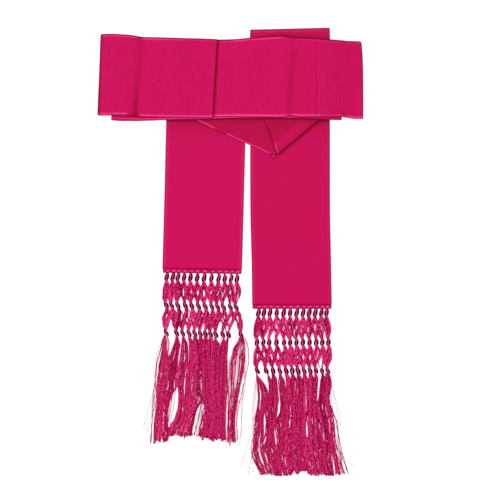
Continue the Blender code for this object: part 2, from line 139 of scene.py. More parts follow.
def through(stations, values, at):
    """A smooth curve through values at stations, along the last axis.

    Between two stations it is the cubic whose slope at each of them is the slope between its neighbours.
    """
    stations = np.asarray(stations, float)
    values = np.asarray(values, float)
    slopes = np.gradient(values, stations, axis=-1)
    near = np.clip(np.searchsorted(stations, at, side="right") - 1, 0, len(stations) - 2)
    span = stations[near + 1] - stations[near]
    s = (at - stations[near]) / span
    return (values[..., near] * (2 * s ** 3 - 3 * s ** 2 + 1)
            + slopes[..., near] * span * (s ** 3 - 2 * s ** 2 + s)
            + values[..., near + 1] * (3 * s ** 2 - 2 * s ** 3)
            + slopes[..., near + 1] * span * (s ** 3 - s ** 2))


def bump(distance, spread):
    """A soft bump that is 1 where the distance is 0, the bell exp(-(distance / spread)^2)."""
    return np.exp(-(distance / spread) ** 2)


def spot_shade(x, y, spots):
    """Painted shade from spots of shade: the product of 1 - depth * a bump in x * a bump in y."""
    shade = np.ones(x.shape)
    for spot_x, x_spread, spot_y, y_spread, depth in spots:
        shade *= 1 - depth * bump(x - spot_x, x_spread) * bump(y - spot_y, y_spread)
    return shade


def across_shares(width, fine=3.2):
    """Shares of the way across a strip: close together at both selvages, about `fine` mm apart between."""
    near_edge = np.array(SELVAGE_STATIONS) / width
    middle = np.linspace(near_edge[-1], 1 - near_edge[-1], int(width / fine))
    return np.concatenate([near_edge, middle[1:-1], 1 - near_edge[::-1]])


def plan_of(table, step, shares):
    """The (x, y) points of a stretch: straight lines between smooth curves through the selvages' table."""
    rows = np.array(table)
    along = np.concatenate([[0], np.cumsum(np.abs(np.diff(rows, axis=0)).max(axis=1))])
    at = np.linspace(0, along[-1], int(np.ceil(along[-1] / step)) + 1)
    selvages = through(along, rows.T, at)
    upper, lower = selvages[:2].T[:, None], selvages[2:].T[:, None]
    return upper + (lower - upper) * shares[None, :, None]


def raised(plan, level):
    """Points (x, y, z) over a plan, at a level given for all of it or for each point."""
    return np.concatenate([plan, np.broadcast_to(level, plan.shape[:2])[..., None]], axis=2)


def half_round(row, outward, low_level, corner=0.0):
    """A half round fold, without its first row: it swells outward from a row and ends under it at low_level.

    Within `corner` mm of both its ends it swells less, as a quarter circle falls away, down to a fifth.
    """
    angle = np.linspace(0, np.pi, FOLD_ARC_STEPS + 1)[1:, None]
    radius = (row[:, 2] - low_level)[None, :] / 2
    along = np.concatenate([[0], np.cumsum(np.linalg.norm(np.diff(row, axis=0), axis=1))])
    near_end = 1 - np.minimum(np.minimum(along, along[-1] - along) / max(corner, 1e-6), 1)
    swell = radius * np.sqrt(1 - 0.96 * near_end ** 2) * np.sin(angle)
    turned = np.repeat(row[None], FOLD_ARC_STEPS, axis=0)
    turned[..., :2] += swell[..., None] * np.asarray(outward)
    turned[..., 2] = low_level + radius * (1 + np.cos(angle))
    return turned


def put_mesh(name, points, faces, material, values=(), uv=None):
    """A smooth-shaded piece, its points brought from the drawing to metres and to the frame's place.

    values holds (attribute name, number per point) pairs, and uv holds a place on the weave per point.
    """
    mesh = bpy.data.meshes.new(name)
    mesh.from_pydata(((points + DRAWING_MIDDLE) * MM).tolist(), [], faces)
    mesh.shade_smooth()
    for attribute, numbers in values:
        layer = mesh.attributes.new(attribute, "FLOAT", "POINT")
        layer.data.foreach_set("value", np.ascontiguousarray(numbers, dtype=np.float32).ravel())
    if uv is not None:
        corners = np.empty(len(mesh.loops), dtype=np.int32)
        mesh.loops.foreach_get("vertex_index", corners)
        layer = mesh.uv_layers.new(name="weave")
        layer.data.foreach_set("uv", np.ascontiguousarray(uv[corners], dtype=np.float32).ravel())
    mesh.materials.append(material)
    piece = bpy.data.objects.new(name, mesh)
    bpy.context.scene.collection.objects.link(piece)
    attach(piece, "root")
    return piece


def cloth_shell(name, middle, shine, shade, material, hem=0.0):
    """A closed shell of cloth round a grid of middle points, stations along it by shares across it.

    Its two faces stand half the thickness off the grid, along the grid's normal. The thickness swells in
    a bell at both selvages, and by `hem` at the first station. Every edge is closed by a small half round.
    shine and shade are one number per grid point: how much of the selvage's painted highlight, and how
    light or dark its painted shade is.
    """
    overhang = 0.02  # of a step, for the thin row that closes each end
    first = middle[:1] - (middle[1:2] - middle[:1]) * overhang
    last = middle[-1:] + (middle[-1:] - middle[-2:-1]) * overhang
    grid = np.concatenate([first, middle, last])
    shine = np.concatenate([shine[:1], shine, shine[-1:]])
    shade = np.concatenate([shade[:1], shade, shade[-1:]])
    along_step = np.linalg.norm(np.diff(grid, axis=0), axis=2)
    across_step = np.linalg.norm(np.diff(grid, axis=1), axis=2)
    along = np.concatenate([np.zeros((1, grid.shape[1])), np.cumsum(along_step, axis=0)])
    across = np.concatenate([np.zeros((len(grid), 1)), np.cumsum(across_step, axis=1)], axis=1)
    inside = np.minimum(across, across[:, -1:] - across)
    thickness = CLOTH + SELVAGE_SWELL * bump(inside - SELVAGE_CENTRE, SELVAGE_SPREAD)
    thickness += hem * bump(along - HEM_CENTRE, HEM_SPREAD)
    thickness[[0, -1]] *= END_THICKNESS
    run = np.gradient(grid, axis=0)
    over = np.gradient(grid, axis=1)
    upright = np.cross(run, over)
    upright /= np.linalg.norm(upright, axis=2, keepdims=True)
    over /= np.linalg.norm(over, axis=2, keepdims=True)
    half = upright * thickness[..., None] / 2

    def edge(column, way):
        reach = thickness[:, column, None, None] / 2
        arc = EDGE_ARC[1:-1] if way > 0 else EDGE_ARC[-2:0:-1]
        return (grid[:, column, None] + upright[:, column, None] * np.sin(arc)[None, :, None] * reach
                + over[:, column, None] * way * np.cos(arc)[None, :, None] * reach)

    ring = np.concatenate([grid + half, edge(-1, 1), (grid - half)[:, ::-1], edge(0, -1)], axis=1)
    sides = len(EDGE_ARC) - 2

    def round_ring(numbers):
        return np.concatenate([numbers, np.repeat(numbers[:, -1:], sides, 1), numbers[:, ::-1],
                               np.repeat(numbers[:, :1], sides, 1)], axis=1)

    stations, around = ring.shape[:2]
    index = np.arange(stations * around).reshape(stations, around)
    turn = np.roll(index, -1, axis=1)
    faces = np.stack([index[:-1], index[1:], turn[1:], turn[:-1]], axis=-1).reshape(-1, 4).tolist()
    count = grid.shape[1]
    top, under = index[:, :count], index[:, count + sides:2 * count + sides][:, ::-1]
    for end, way in ((0, 1), (-1, -1)):
        cap = np.stack([top[end, :-1], top[end, 1:], under[end, 1:], under[end, :-1]], axis=-1)
        faces += cap[:, ::way].tolist()
        far = [top[end, -1], *index[end, count:count + sides], under[end, -1]]
        near = [under[end, 0], *index[end, 2 * count + sides:], top[end, 0]]
        faces += [[int(i) for i in far[::way]], [int(i) for i in near[::way]]]
    uv = np.stack([round_ring(along), round_ring(across)], axis=-1).reshape(-1, 2) * MM
    values = [("shine", round_ring(shine)), ("shade", round_ring(shade))]
    return put_mesh(name, ring.reshape(-1, 3), faces, material, values, uv)


def new_material(name):
    """A material, with its node tree and its Principled shader."""
    material = bpy.data.materials.new(name)
    material.use_nodes = True
    return material, material.node_tree, material.node_tree.nodes["Principled BSDF"]


def set_sockets(node, values):
    """Puts a value on each named input socket of a node."""
    for name, value in values.items():
        node.inputs[name].default_value = value


def add_node(tree, kind, **settings):
    """A shader node with its settings and its socket values, given by name or by number."""
    made = tree.nodes.new(kind)
    for key, value in settings.items():
        if key.startswith("socket_"):
            name = key[len("socket_"):].replace("_", " ")
            made.inputs[int(name) if name.isdigit() else name].default_value = value
        else:
            setattr(made, key, value)
    return made


def arithmetic(tree, operation, first, second):
    """A Math node on two inputs, each a number or another node's output."""
    made = add_node(tree, "ShaderNodeMath", operation=operation)
    for socket, value in zip(made.inputs, (first, second)):
        if isinstance(value, (int, float)):
            socket.default_value = value
        else:
            tree.links.new(value, socket)
    return made.outputs[0]


def noise(tree, coordinates, scale, detail=2.0, roughness=0.5):
    """A Noise Texture's value, from 0 to 1, on coordinates stretched by scale, in waves a metre."""
    placed = add_node(tree, "ShaderNodeVectorMath", operation="MULTIPLY")
    placed.inputs[1].default_value = scale
    tree.links.new(coordinates, placed.inputs[0])
    made = add_node(tree, "ShaderNodeTexNoise", socket_Scale=1.0, socket_Detail=detail,
                    socket_Roughness=roughness)
    tree.links.new(placed.outputs[0], made.inputs["Vector"])
    return made.outputs["Fac"]


def swing(tree, value, amount):
    """1 + amount * (value - 0.5): a tint that swings round 1 as a noise value swings round its middle."""
    return arithmetic(tree, "ADD", arithmetic(tree, "MULTIPLY", value, amount), 1 - amount / 2)


RIB_PITCH = 0.0009
RIB_RELIEF = 0.00012       # metres
RIB_RELIEF_STRENGTH = 0.35
SLUB_RELIEF = 0.8          # how high the slubs stand, against the ribs' whole height
SLUB_TINT = 0.42           # how far slubs and clouds swing the dye, and glints the selvage's shine
CLOUD_TINT = 0.08
GLINT_SWING = 0.9
# the power of the painted shade by which green and blue fall faster than red
PAINTED_SHADE_POWER = 2.2
FUCHSIA = (0.56, 0.0022, 0.094, 1.0)
# the pale pink of the selvages' painted highlight
SELVAGE_HIGHLIGHT_PINK = (1.0, 0.062, 0.34, 1.0)


def faille(name, streak_tint):
    """The cloth: fine round ribs across the strip, short faint streaks along the ribs, and a selvage whose
    shine is a painted highlight.

    The colour is fuchsia times the streaks', slubs' and clouds' swings, times the painted shade of the
    shade attribute. Where that painted shade is deep, green and blue fall faster than red, by a power of it,
    so painted creases and shadows look deeper red. The shine attribute, swung by glints, mixes in a pale
    pink as the painted highlight. The ribs are a sine along the strip, raised with the slubs as a bump.
    """
    material, tree, shader = new_material(name)
    weave = add_node(tree, "ShaderNodeUVMap", uv_map="weave").outputs[0]
    ways = add_node(tree, "ShaderNodeSeparateXYZ")
    tree.links.new(weave, ways.inputs[0])

    streaks = noise(tree, weave, (380.0, 55.0, 1.0), 3.0)
    slubs = noise(tree, weave, (520.0, 430.0, 1.0))
    cloud = noise(tree, weave, (16.0, 11.0, 1.0))
    tint = arithmetic(tree, "MULTIPLY", swing(tree, streaks, streak_tint), swing(tree, slubs, SLUB_TINT))
    tint = arithmetic(tree, "MULTIPLY", tint, swing(tree, cloud, CLOUD_TINT))
    # Painted shade from the shade attribute, green and blue darkened by a power of it
    shade = add_node(tree, "ShaderNodeAttribute", attribute_name="shade").outputs["Fac"]
    deeper_painted_shade = arithmetic(tree, "POWER", shade, PAINTED_SHADE_POWER)
    tint_times_painted_shade = add_node(tree, "ShaderNodeCombineXYZ")
    for socket, depth in zip(tint_times_painted_shade.inputs, (shade, deeper_painted_shade, deeper_painted_shade)):
        tree.links.new(arithmetic(tree, "MULTIPLY", tint, depth), socket)

    # Painted highlight: the shine attribute, swung by glints, mixes the fuchsia towards a pale pink
    shine = add_node(tree, "ShaderNodeAttribute", attribute_name="shine").outputs["Fac"]
    glint = noise(tree, weave, (60.0, 60.0, 1.0))
    shine = arithmetic(tree, "MULTIPLY", shine, swing(tree, glint, GLINT_SWING))
    colour = add_node(tree, "ShaderNodeMix", data_type="RGBA", socket_6=FUCHSIA, socket_7=SELVAGE_HIGHLIGHT_PINK)
    tree.links.new(shine, colour.inputs[0])
    colour_with_painted_light = add_node(tree, "ShaderNodeVectorMath", operation="MULTIPLY")
    tree.links.new(colour.outputs[2], colour_with_painted_light.inputs[0])
    tree.links.new(tint_times_painted_shade.outputs[0], colour_with_painted_light.inputs[1])
    tree.links.new(colour_with_painted_light.outputs[0], shader.inputs["Base Color"])

    phase = arithmetic(tree, "MULTIPLY", ways.outputs[0], 2 * np.pi / RIB_PITCH)
    rib = arithmetic(tree, "MULTIPLY", arithmetic(tree, "SINE", phase, 0.0), 0.5)
    height = arithmetic(tree, "ADD", rib, arithmetic(tree, "MULTIPLY", slubs, SLUB_RELIEF))
    relief = add_node(tree, "ShaderNodeBump")
    set_sockets(relief, {"Strength": RIB_RELIEF_STRENGTH, "Distance": RIB_RELIEF})
    tree.links.new(height, relief.inputs["Height"])
    tree.links.new(relief.outputs[0], shader.inputs["Normal"])
    set_sockets(shader, {"Roughness": 0.6, "Specular IOR Level": 0.06, "Sheen Weight": 0.015,
                         "Sheen Roughness": 0.4, "Sheen Tint": (1.0, 0.45, 0.7, 1.0)})
    return material


def selvages(middle, shine, rim):
    """Shine and shade along both selvages of a strip.

    shine and rim hold, for each edge, how strong, how far in and how wide: a painted highlight, a bright
    bell along the selvage's thickest line, and painted shade, a dark outline where its outermost edge turns
    away from the light.
    """
    width = np.linalg.norm(middle[:, -1] - middle[:, 0], axis=1)[:, None]
    shares = np.linalg.norm(middle - middle[:, :1], axis=2) / width
    bright, dark = np.zeros(shares.shape), np.ones(shares.shape)
    for inside, (strong, place, spread), (depth, rim_place, rim_spread) in zip(
            (shares * width, (1 - shares) * width), shine, rim):
        bright = bright + strong * bump(inside - place, spread)
        dark = dark * (1 - depth * bump(inside - rim_place, rim_spread))
    return bright, dark


WAIST_SHARES = across_shares(128.0)
FRONT_STEP = 1.6           # between two stations along the lap and the front stretch
BACK_STEP = 5.0
CREASE_TROUGH = (0.95, 7.5)    # the crease's wide trough: depth, spread
CREASE_PINCH = (0.4, 2.2)      # the sharp pinch along its line: depth, spread
# Round folds are painted darker, as painted shade where the cloth turns away from the light
FOLD_DARKNESS = 0.66       # how much darker a round fold looks
# Where the front stretch dips, beside the falls below it. columns: y, x
TROUGH_LINE = ((222.0, 96.3), (275.0, 99.6), (325.0, 104.5), (352.0, 106.0))
TROUGH_MIDDLE_X = 99.6
PINCH_PLACE = (181.8, 230.7)
SLANT = 0.707              # the sine and the cosine of the pinch's direction
SEAM_X = 141.5             # the upright row of stitches that tacks the strip down
# Spots of painted shade where the cloth is pinched. columns: x, its spread, y, its spread, depth
LAP_SHADE_SPOTS = (
    (-156.0, 3.6, 225.0, 2.8, 0.6),
    (-148.0, 6.0, 353.0, 1.8, 0.35),
    (-163.0, 9.0, 224.0, 22.0, 0.09),
)
FRONT_SHADE_SPOTS = ((97.5, 3.0, 223.5, 2.2, 0.3),)


def ripples(x, y):
    """Faint upright ripples: two sines along x, 7.3 and 11.9 mm long, whose phases drift slowly along y."""
    return (0.035 * np.sin(x * 2 * np.pi / 7.3 + 1.3 * np.sin(y / 31))
            + 0.03 * np.sin(x * 2 * np.pi / 11.9 - y / 57))


waist_faille = faille("waist_faille", 0.36)

# The lap has a trough with a sharp crease down it and a slight swell right of that. Painted shade darkens
# the crease, most of all low down, a few pinched spots, and a line along its left edge beside the fold.
lap_plan = plan_of(FRONT_LAP, FRONT_STEP, WAIST_SHARES)
x, y = lap_plan[..., 0], lap_plan[..., 1]
past_crease = x - eased(y, LAP_CREASE) + 0.7 * bump(y - 222, 40)
pinched = eased(y, ((222.0, 1.0), (262.0, 1.0), (310.0, 0.45), (352.0, 0.6)))
lap_level = eased(x, STACK_REST) + eased(past_crease, LAP_RISE) + WALL / 2
lap_level -= CREASE_TROUGH[0] * bump(past_crease + 0.5, CREASE_TROUGH[1])
lap_level -= CREASE_PINCH[0] * bump(past_crease, CREASE_PINCH[1]) * pinched
lap_level += 0.12 * bump(x + 105, 34) * bump(y - 300, 40)
lap = raised(lap_plan, lap_level)
# Painted shade in the crease
deep = eased(y, ((222.0, 0.9), (232.0, 1.0), (250.0, 1.0), (266.0, 0.35), (300.0, 0.12), (352.0, 0.2)))
lap_shade = 1 - 0.32 * bump(past_crease - 0.3, 2.4) * deep - 0.10 * bump(past_crease + 0.5, 6.5)
left_edge_x = np.interp(y, (225.3, 358.4), (-216.3, -211.6))
lap_shade *= spot_shade(x, y, LAP_SHADE_SPOTS) * (1 - 0.34 * bump(x - left_edge_x - 0.4, 1.3))

# At the left fold the strip turns under, and it runs plainly along the back.
left_fold = half_round(lap[-1], (-1.0, 0.0), FLOOR_LEVEL, 3.5)
back_plan = plan_of(BACK_STRETCH, BACK_STEP, WAIST_SHARES)
back = raised(back_plan, eased(back_plan[..., 0], STACK_REST) + FLOOR_LEVEL)

# The front stretch bulges at the right fold. From right to left it has a pinch, the tacked seam and a dip.
front_plan = plan_of(FRONT_STRETCH, FRONT_STEP, WAIST_SHARES)
bulge_at_fold = bump(212 - np.minimum(front_plan[..., 0], 212), 10)
front_plan[..., 0] += 2.0 * np.sin(np.pi * WAIST_SHARES ** 0.6) * bulge_at_fold
x, y = front_plan[..., 0], front_plan[..., 1]
past_trough = x - eased(y, TROUGH_LINE)
dipped = eased(y, ((222.0, 0.75), (250.0, 0.8), (280.0, 1.0), (325.0, 0.5), (340.0, 0.0)))
in_trough = bump(past_trough, 4.2) * dipped
right_of_pinch, above_pinch = x - PINCH_PLACE[0], y - PINCH_PLACE[1]
pinch_along = (right_of_pinch - above_pinch) * SLANT
pinch_aside = (right_of_pinch + above_pinch) * SLANT
pinch = bump(pinch_aside, 1.6) * bump(pinch_along - 6.0, 6.0)
tightness = eased(y, ((222.0, 0.7), (232.0, 1.3), (275.0, 1.2), (320.0, 0.6), (352.0, 0.3)))
seam = bump(x - SEAM_X, 0.75) * tightness
front_level = eased(x, STACK_REST) + eased(past_trough + TROUGH_MIDDLE_X, FRONT_RISE) + WALL / 2
front_level -= 0.12 * seam + 0.1 * in_trough + 0.12 * pinch
front_level += ripples(x, y) * bump(x - 86, 60) * bump(y - 290, 60)
front = raised(front_plan, front_level)
# Painted shade darkens the dip, the pinch, the seam's groove and a broad band near x 172, and a thin painted
# highlight lies just right of the seam
front_shade = 1 - 0.15 * in_trough - 0.4 * pinch - 0.34 * seam - 0.035 * bump(past_trough, 14)
front_shade *= spot_shade(x, y, FRONT_SHADE_SPOTS)
front_shade *= 1 - 0.05 * bump(x - 172, 15) + 0.08 * bump(x - SEAM_X - 1.7, 0.8)
# A painted shadow cast by the lap's hemmed end, just to its right
lap_end_x = np.interp(y, (222.0, 350.0), (-29.6, -22.1))
front_shade *= 1 - 0.61 * bump(x - lap_end_x - 1.8, 2.0)
right_fold = half_round(front[0], (1.0, 0.0), FLOOR_LEVEL, 3.0)[::-1]

# The whole turn is one grid, from the lap's hemmed end round to the end that is hidden under the lap.
waist = np.concatenate([lap, left_fold, back[1:-1], right_fold, front])
# Painted shade round the left and right folds
round_the_fold = np.linspace(0, np.pi, FOLD_ARC_STEPS + 1)[1:]
fold_shade = 1 - FOLD_DARKNESS * eased(round_the_fold, ((0.0, 0.25), (0.35, 1.0), (2.7, 1.0), (3.1, 0.0)))
fold_shade = np.broadcast_to(fold_shade[:, None], left_fold.shape[:2])
back_shade = np.ones(back[1:-1].shape[:2])
waist_shade = np.concatenate([lap_shade, fold_shade, back_shade, fold_shade[::-1], front_shade])
# How bright the selvages' painted highlight is. columns: x, brightness
LOWER_SHINE = (
    (-216.0, 0.7), (-174.0, 0.8), (-167.0, 0.1), (-153.0, 0.1), (-146.0, 0.75), (-90.0, 0.65), (-36.0, 0.75),
    (-28.0, 0.95), (20.0, 1.05), (60.0, 0.95), (90.0, 0.85), (96.0, 0.3), (104.0, 0.9), (140.0, 0.8),
    (156.0, 0.3), (176.0, 0.25), (190.0, 0.25), (198.0, 0.7), (216.0, 0.7),
)
UPPER_SHINE = (
    (-212.0, 0.5), (-190.0, 0.75), (-158.0, 0.6), (-150.0, 0.2), (-138.0, 1.2), (-110.0, 0.8), (-60.0, 0.35),
    (-30.0, 0.3), (-10.0, 0.4), (20.0, 0.8), (75.0, 0.9), (90.0, 0.15), (104.0, 0.05), (120.0, 0.3),
    (145.0, 0.25), (212.0, 0.3),
)
# The selvages' painted highlight, and the painted dark outline along their outermost edges
waist_x = waist[..., 0]
waist_shine, waist_rim_shade = selvages(
    waist,
    ((eased(waist_x, UPPER_SHINE), 2.4, 0.9), (eased(waist_x, LOWER_SHINE), 2.0, 1.1)),
    ((0.7, 0.2, 1.3), (0.25, 0.0, 0.8)))
waist_shade *= waist_rim_shade
waist_strip = cloth_shell("waist_strip", waist, waist_shine, waist_shade, waist_faille, hem=0.6)
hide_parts("front_lap", "back_stretch", "front_stretch")


# The inner turns
# The strip's next turn, in two layers, wound flat inside the outer one. It shows only as a narrow step under
# the outer turn's lower edge. Nothing fixes it but the winding.

# columns: upper edge x, y, lower edge x, y
INNER_TURNS = (
    (-196.2, 345.0, -196.2, 217.7),
    (-185.0, 346.5, -185.0, 216.6),
    (-165.0, 346.5, -165.0, 216.4),
    (-155.5, 346.5, -155.5, 216.2),
    (-145.0, 346.5, -145.0, 216.6),
    (-126.0, 346.5, -126.0, 217.1),
    (-108.0, 346.5, -108.0, 217.8),
    (-42.0, 346.5, -42.0, 218.9),
    (8.0, 347.0, 8.0, 220.7),
    (32.0, 347.0, 32.0, 220.9),
    (88.0, 347.0, 88.0, 220.7),
    (140.5, 346.5, 140.5, 219.3),
    (160.0, 346.0, 160.0, 218.0),
    (181.8, 345.0, 181.8, 217.5),
)
# Its selvages' painted highlight, how bright and how far in, and its painted shade. columns: x, value
INNER_SHINE = ((-195.0, 0.6), (-100.0, 0.9), (90.0, 0.8), (106.0, 0.35), (130.0, 0.12), (182.0, 0.05))
INNER_SHINE_PLACE = ((-196.0, 3.6), (-165.0, 3.3), (-132.0, 2.3), (-100.0, 1.5), (182.0, 1.1))
INNER_SHADE = ((-195.0, 0.9), (-100.0, 1.0), (95.0, 1.0), (120.0, 0.88), (182.0, 0.85))
INNER_SHARES = across_shares(127.0)
inner_plan = plan_of(INNER_TURNS, 3.5, INNER_SHARES)
inner_rest = eased(inner_plan[..., 0], STACK_REST) + LAYER + WALL / 2
lower_turn = raised(inner_plan, inner_rest)
upper_turn = raised(inner_plan, inner_rest + LAYER)
upper_turn[:, :, 1] += 0.25 * (INNER_SHARES - 0.5)
inner_fold = half_round(upper_turn[-1], (1.0, 0.0), lower_turn[-1, 0, 2])[::-1]
inner = np.concatenate([lower_turn, inner_fold[1:], upper_turn[::-1]])
inner_x = inner[..., 0]
inner_bright = (eased(inner_x, INNER_SHINE), eased(inner_x, INNER_SHINE_PLACE), 0.85)
# Painted highlight and painted dark outline along both selvages
inner_shine, inner_shade = selvages(inner, (inner_bright,) * 2, ((0.3, 0.0, 0.7),) * 2)
inner_shade *= eased(inner_x, INNER_SHADE)
inner_turns = cloth_shell("inner_turns_strip", inner, inner_shine, inner_shade, waist_faille)
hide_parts("inner_turns")


# The falls
# A second strip of the same faille hangs down as two tails. Behind the waist strip the right tail turns over
# at the top, comes down again and is folded on the slant, so that a triangle of it shows below the waist.

# columns: left selvage x, y, right selvage x, y
RIGHT_TAIL = (
    (36.2, -86.2, 166.4, -86.2),
    (35.2, -20.0, 165.3, -20.0),
    (33.3, 53.0, 163.8, 53.0),
    (32.8, 175.0, 163.4, 175.0),
    (32.6, 267.0, 163.2, 267.0),
    (32.6, 364.8, 163.0, 368.0),
)
DIAGONAL_OVER = (
    (32.6, 364.8, 163.0, 368.0),
    (32.4, 346.0, 163.6, 346.0),
    (41.0, 295.0, 167.5, 318.0),
    (47.0, 252.0, 172.0, 298.0),
    (56.2, 218.5, 176.5, 279.0),
    (67.6, 190.0, 180.0, 263.5),
    (77.5, 161.8, 183.0, 250.5),
)
DIAGONAL_UNDER = (
    (77.5, 161.8, 183.0, 250.5),
    (68.5, 161.0, 172.5, 257.5),
    (45.0, 171.0, 150.0, 266.0),
    (-4.0, 192.5, 88.0, 294.0),
    (-57.0, 218.3, 13.0, 329.0),
    (-79.0, 230.0, -25.0, 345.0),
)
LEFT_TAIL = (
    (-111.9, -26.8, 18.6, -28.8),
    (-108.5, 95.0, 21.9, 94.5),
    (-105.6, 217.5, 25.0, 217.5),
    (-102.0, 332.5, 28.5, 332.5),
)
# How bright the left selvages' painted highlight is. columns: y down the over layer or x along the under
# layer, brightness
OVER_SHINE = (
    (160.0, 0.6), (170.0, 1.2), (177.0, 0.9), (184.0, 0.0), (206.0, 0.0), (213.0, 0.2), (330.0, 0.2),
    (340.0, 0.1),
)
UNDER_SHINE = (
    (-60.0, 1.6), (-40.0, 1.6), (-27.0, 1.3), (-23.0, 0.0), (-9.0, 0.0), (-4.0, 1.15), (64.0, 1.15),
    (68.0, 0.2),
)
# How dark the painted shadow is on the under layer beside the over layer's selvage. columns: y, share
GROOVE = ((163.0, 0.3), (171.0, 0.5), (182.0, 0.4), (192.0, 0.85), (206.0, 0.9), (212.0, 0.0))
UNDER_LEVEL = WALL / 2 + LAYER
OVER_LEVEL = UNDER_LEVEL + LAYER
TAIL_STEP = 3.6            # between two stations along a tail, and along the diagonal's two layers
OVER_STEP = 2.4
UNDER_STEP = 1.9
TAIL_SHARES = across_shares(130.0, 1.9)
WAIST_LOWER_EDGE = 218.5   # the y where the waist strip's lower edge lies over the left fall
# The painted shadow below the waist strip on the diagonal
UNDER_WAIST = (220.0, 0.13, 13.0)  # the shade below it on the diagonal: y of the edge, deepest, fading
FOLD_CORNER = (71.0, 157.0)        # where the slanted fold meets the left selvage
# How light each layer is painted against the left tail; the over and under layers are darker, as painted
# shade for how their ribs slant to the light
TAIL_TONE = 0.965
ABOVE_WAIST_TONE = 0.97
OVER_PAINTED_SHADE = 0.82
UNDER_PAINTED_SHADE = 0.84


def tubes(paths, half_width, half_height, sides, beside=(1.0, 0.0, 0.0)):
    """Closed tubes along many paths at once, as points and faces.

    paths is an array of tubes by stations by (x, y, z). Round each station runs an ellipse, half_width
    along the direction `beside` made square to the path, and half_height along the third direction.
    """
    count, stations = paths.shape[:2]
    along = np.gradient(paths, axis=1)
    along /= np.linalg.norm(along, axis=2, keepdims=True)
    beside = np.asarray(beside, float)
    side = beside - along * (along @ beside)[..., None]
    side /= np.linalg.norm(side, axis=2, keepdims=True)
    upward = np.cross(along, side)
    angle = np.arange(sides) * 2 * np.pi / sides + np.pi / 2
    half_width = np.broadcast_to(half_width, (count, stations))[..., None, None]
    half_height = np.broadcast_to(half_height, (count, stations))[..., None, None]
    points = (paths[:, :, None] + side[:, :, None] * np.cos(angle)[:, None] * half_width
              + upward[:, :, None] * np.sin(angle)[:, None] * half_height)
    index = np.arange(count * stations * sides).reshape(count, stations, sides)
    turn = np.roll(index, -1, axis=2)
    walls = np.stack([index[:, :-1], turn[:, :-1], turn[:, 1:], index[:, 1:]], axis=-1).reshape(-1, 4)
    ends = np.concatenate([index[:, 0, ::-1], index[:, -1]])
    return points.reshape(-1, 3), walls.tolist() + ends.tolist()


def lying_tail(plan, seed_phase):
    """A tail's level: it lies on the surface, with two slow swells a few tenths of a millimetre high."""
    x, y = plan[..., 0], plan[..., 1]
    swell = np.sin(x / 19 + y / 61 + seed_phase) + np.sin(y / 43 - x / 37 + 2 * seed_phase)
    return FLOOR_LEVEL + 0.07 * (swell + 2)


def under_the_waist(plan, edge_y=WAIST_LOWER_EDGE, deepest=0.27, fading=15.0):
    """The painted shadow below an edge that lies over a layer: 1 - deepest * exp(-distance below / fading).
    """
    return 1 - deepest * np.exp(-np.clip(edge_y - plan[..., 1], 0, None) / fading)


falls_faille = faille("falls_faille", 0.06)

# The right fall is one grid: up the tail, over the top fold, down the over layer, round the slanted fold and
# along the under layer to its hidden end.
tail_plan = plan_of(RIGHT_TAIL, TAIL_STEP, TAIL_SHARES)
over_plan = plan_of(DIAGONAL_OVER, OVER_STEP, TAIL_SHARES)
under_plan = plan_of(DIAGONAL_UNDER, UNDER_STEP, TAIL_SHARES)
tail = raised(tail_plan, lying_tail(tail_plan, 0.4))
over = raised(over_plan, OVER_LEVEL)
under = raised(under_plan, UNDER_LEVEL)
top_fold = half_round(over[0], (0.0, 1.0), FLOOR_LEVEL)[::-1]
fold_line = over_plan[-1, -1] - over_plan[-1, 0]
fold_out = np.array([fold_line[1], -fold_line[0]]) / np.linalg.norm(fold_line)
slant_fold = half_round(over[-1], fold_out, UNDER_LEVEL)
right_fall_middle = np.concatenate([tail[:-1], top_fold, over, slant_fold, under[1:]])

# The painted shades: a shadow beyond the slanted fold's line and a band of painted highlight inside it, a
# shadow against the waist's upper edge and below its lower one, one under the over layer's selvage, and
# darker spots at the fold's corner and along the top fold
fold_start = over_plan[-1, 0]
fold_length = np.linalg.norm(fold_line)


def beside_the_fold(plan):
    """How far beyond the slanted fold's line each point lies, and its share of the way along that line."""
    offset = plan - fold_start
    return offset @ fold_out, offset @ (fold_line / fold_length) / fold_length


beyond, along_fold = beside_the_fold(tail_plan)
on_slant = eased(along_fold, ((-0.01, 0.0), (0.02, 1.0), (0.75, 1.0), (0.95, 0.3), (1.0, 0.0)))
tail_shade = TAIL_TONE * under_the_waist(tail_plan) * (1 - 0.45 * bump(beyond - 1.9, 2.9) * on_slant)
tail_shade *= 1 - 0.35 * bump(np.linalg.norm(tail_plan - FOLD_CORNER, axis=2), 3.6)

over_x, over_y = over_plan[..., 0], over_plan[..., 1]
beyond, along_fold = beside_the_fold(over_plan)
on_fold = eased(along_fold, ((0.0, 0.0), (0.1, 1.0), (0.4, 1.0), (0.75, 0.0)))
waist_top = np.array(FRONT_STRETCH)[::-1, :2]
above_waist = np.clip(over_y - np.interp(over_x, waist_top[:, 0], waist_top[:, 1]), 0, None)
near_waist = eased(over_x, ((33.0, 0.25), (60.0, 0.4), (85.0, 1.0), (165.0, 0.8)))
above_shade = ABOVE_WAIST_TONE - 0.46 * near_waist * np.exp(-above_waist / 3.8)
below_shade = OVER_PAINTED_SHADE * (1 + 0.2 * bump(beyond + 11, 6.5) * on_fold)
below_shade *= under_the_waist(over_plan, *UNDER_WAIST)
below_top = over_y[0] - over_y
over_shade = np.where(over_y > 330, above_shade, below_shade) * (1 - 0.4 * bump(below_top, 0.6))

under_x, under_y = under_plan[..., 0], under_plan[..., 1]
edge_x = np.interp(under_y, over_y[::-1, 0], over_x[::-1, 0])
under_shade = UNDER_PAINTED_SHADE * (1 - 0.52 * bump(edge_x - under_x - 1.4, 2.1) * eased(under_y, GROOVE))
under_shade *= under_the_waist(under_plan, *UNDER_WAIST)
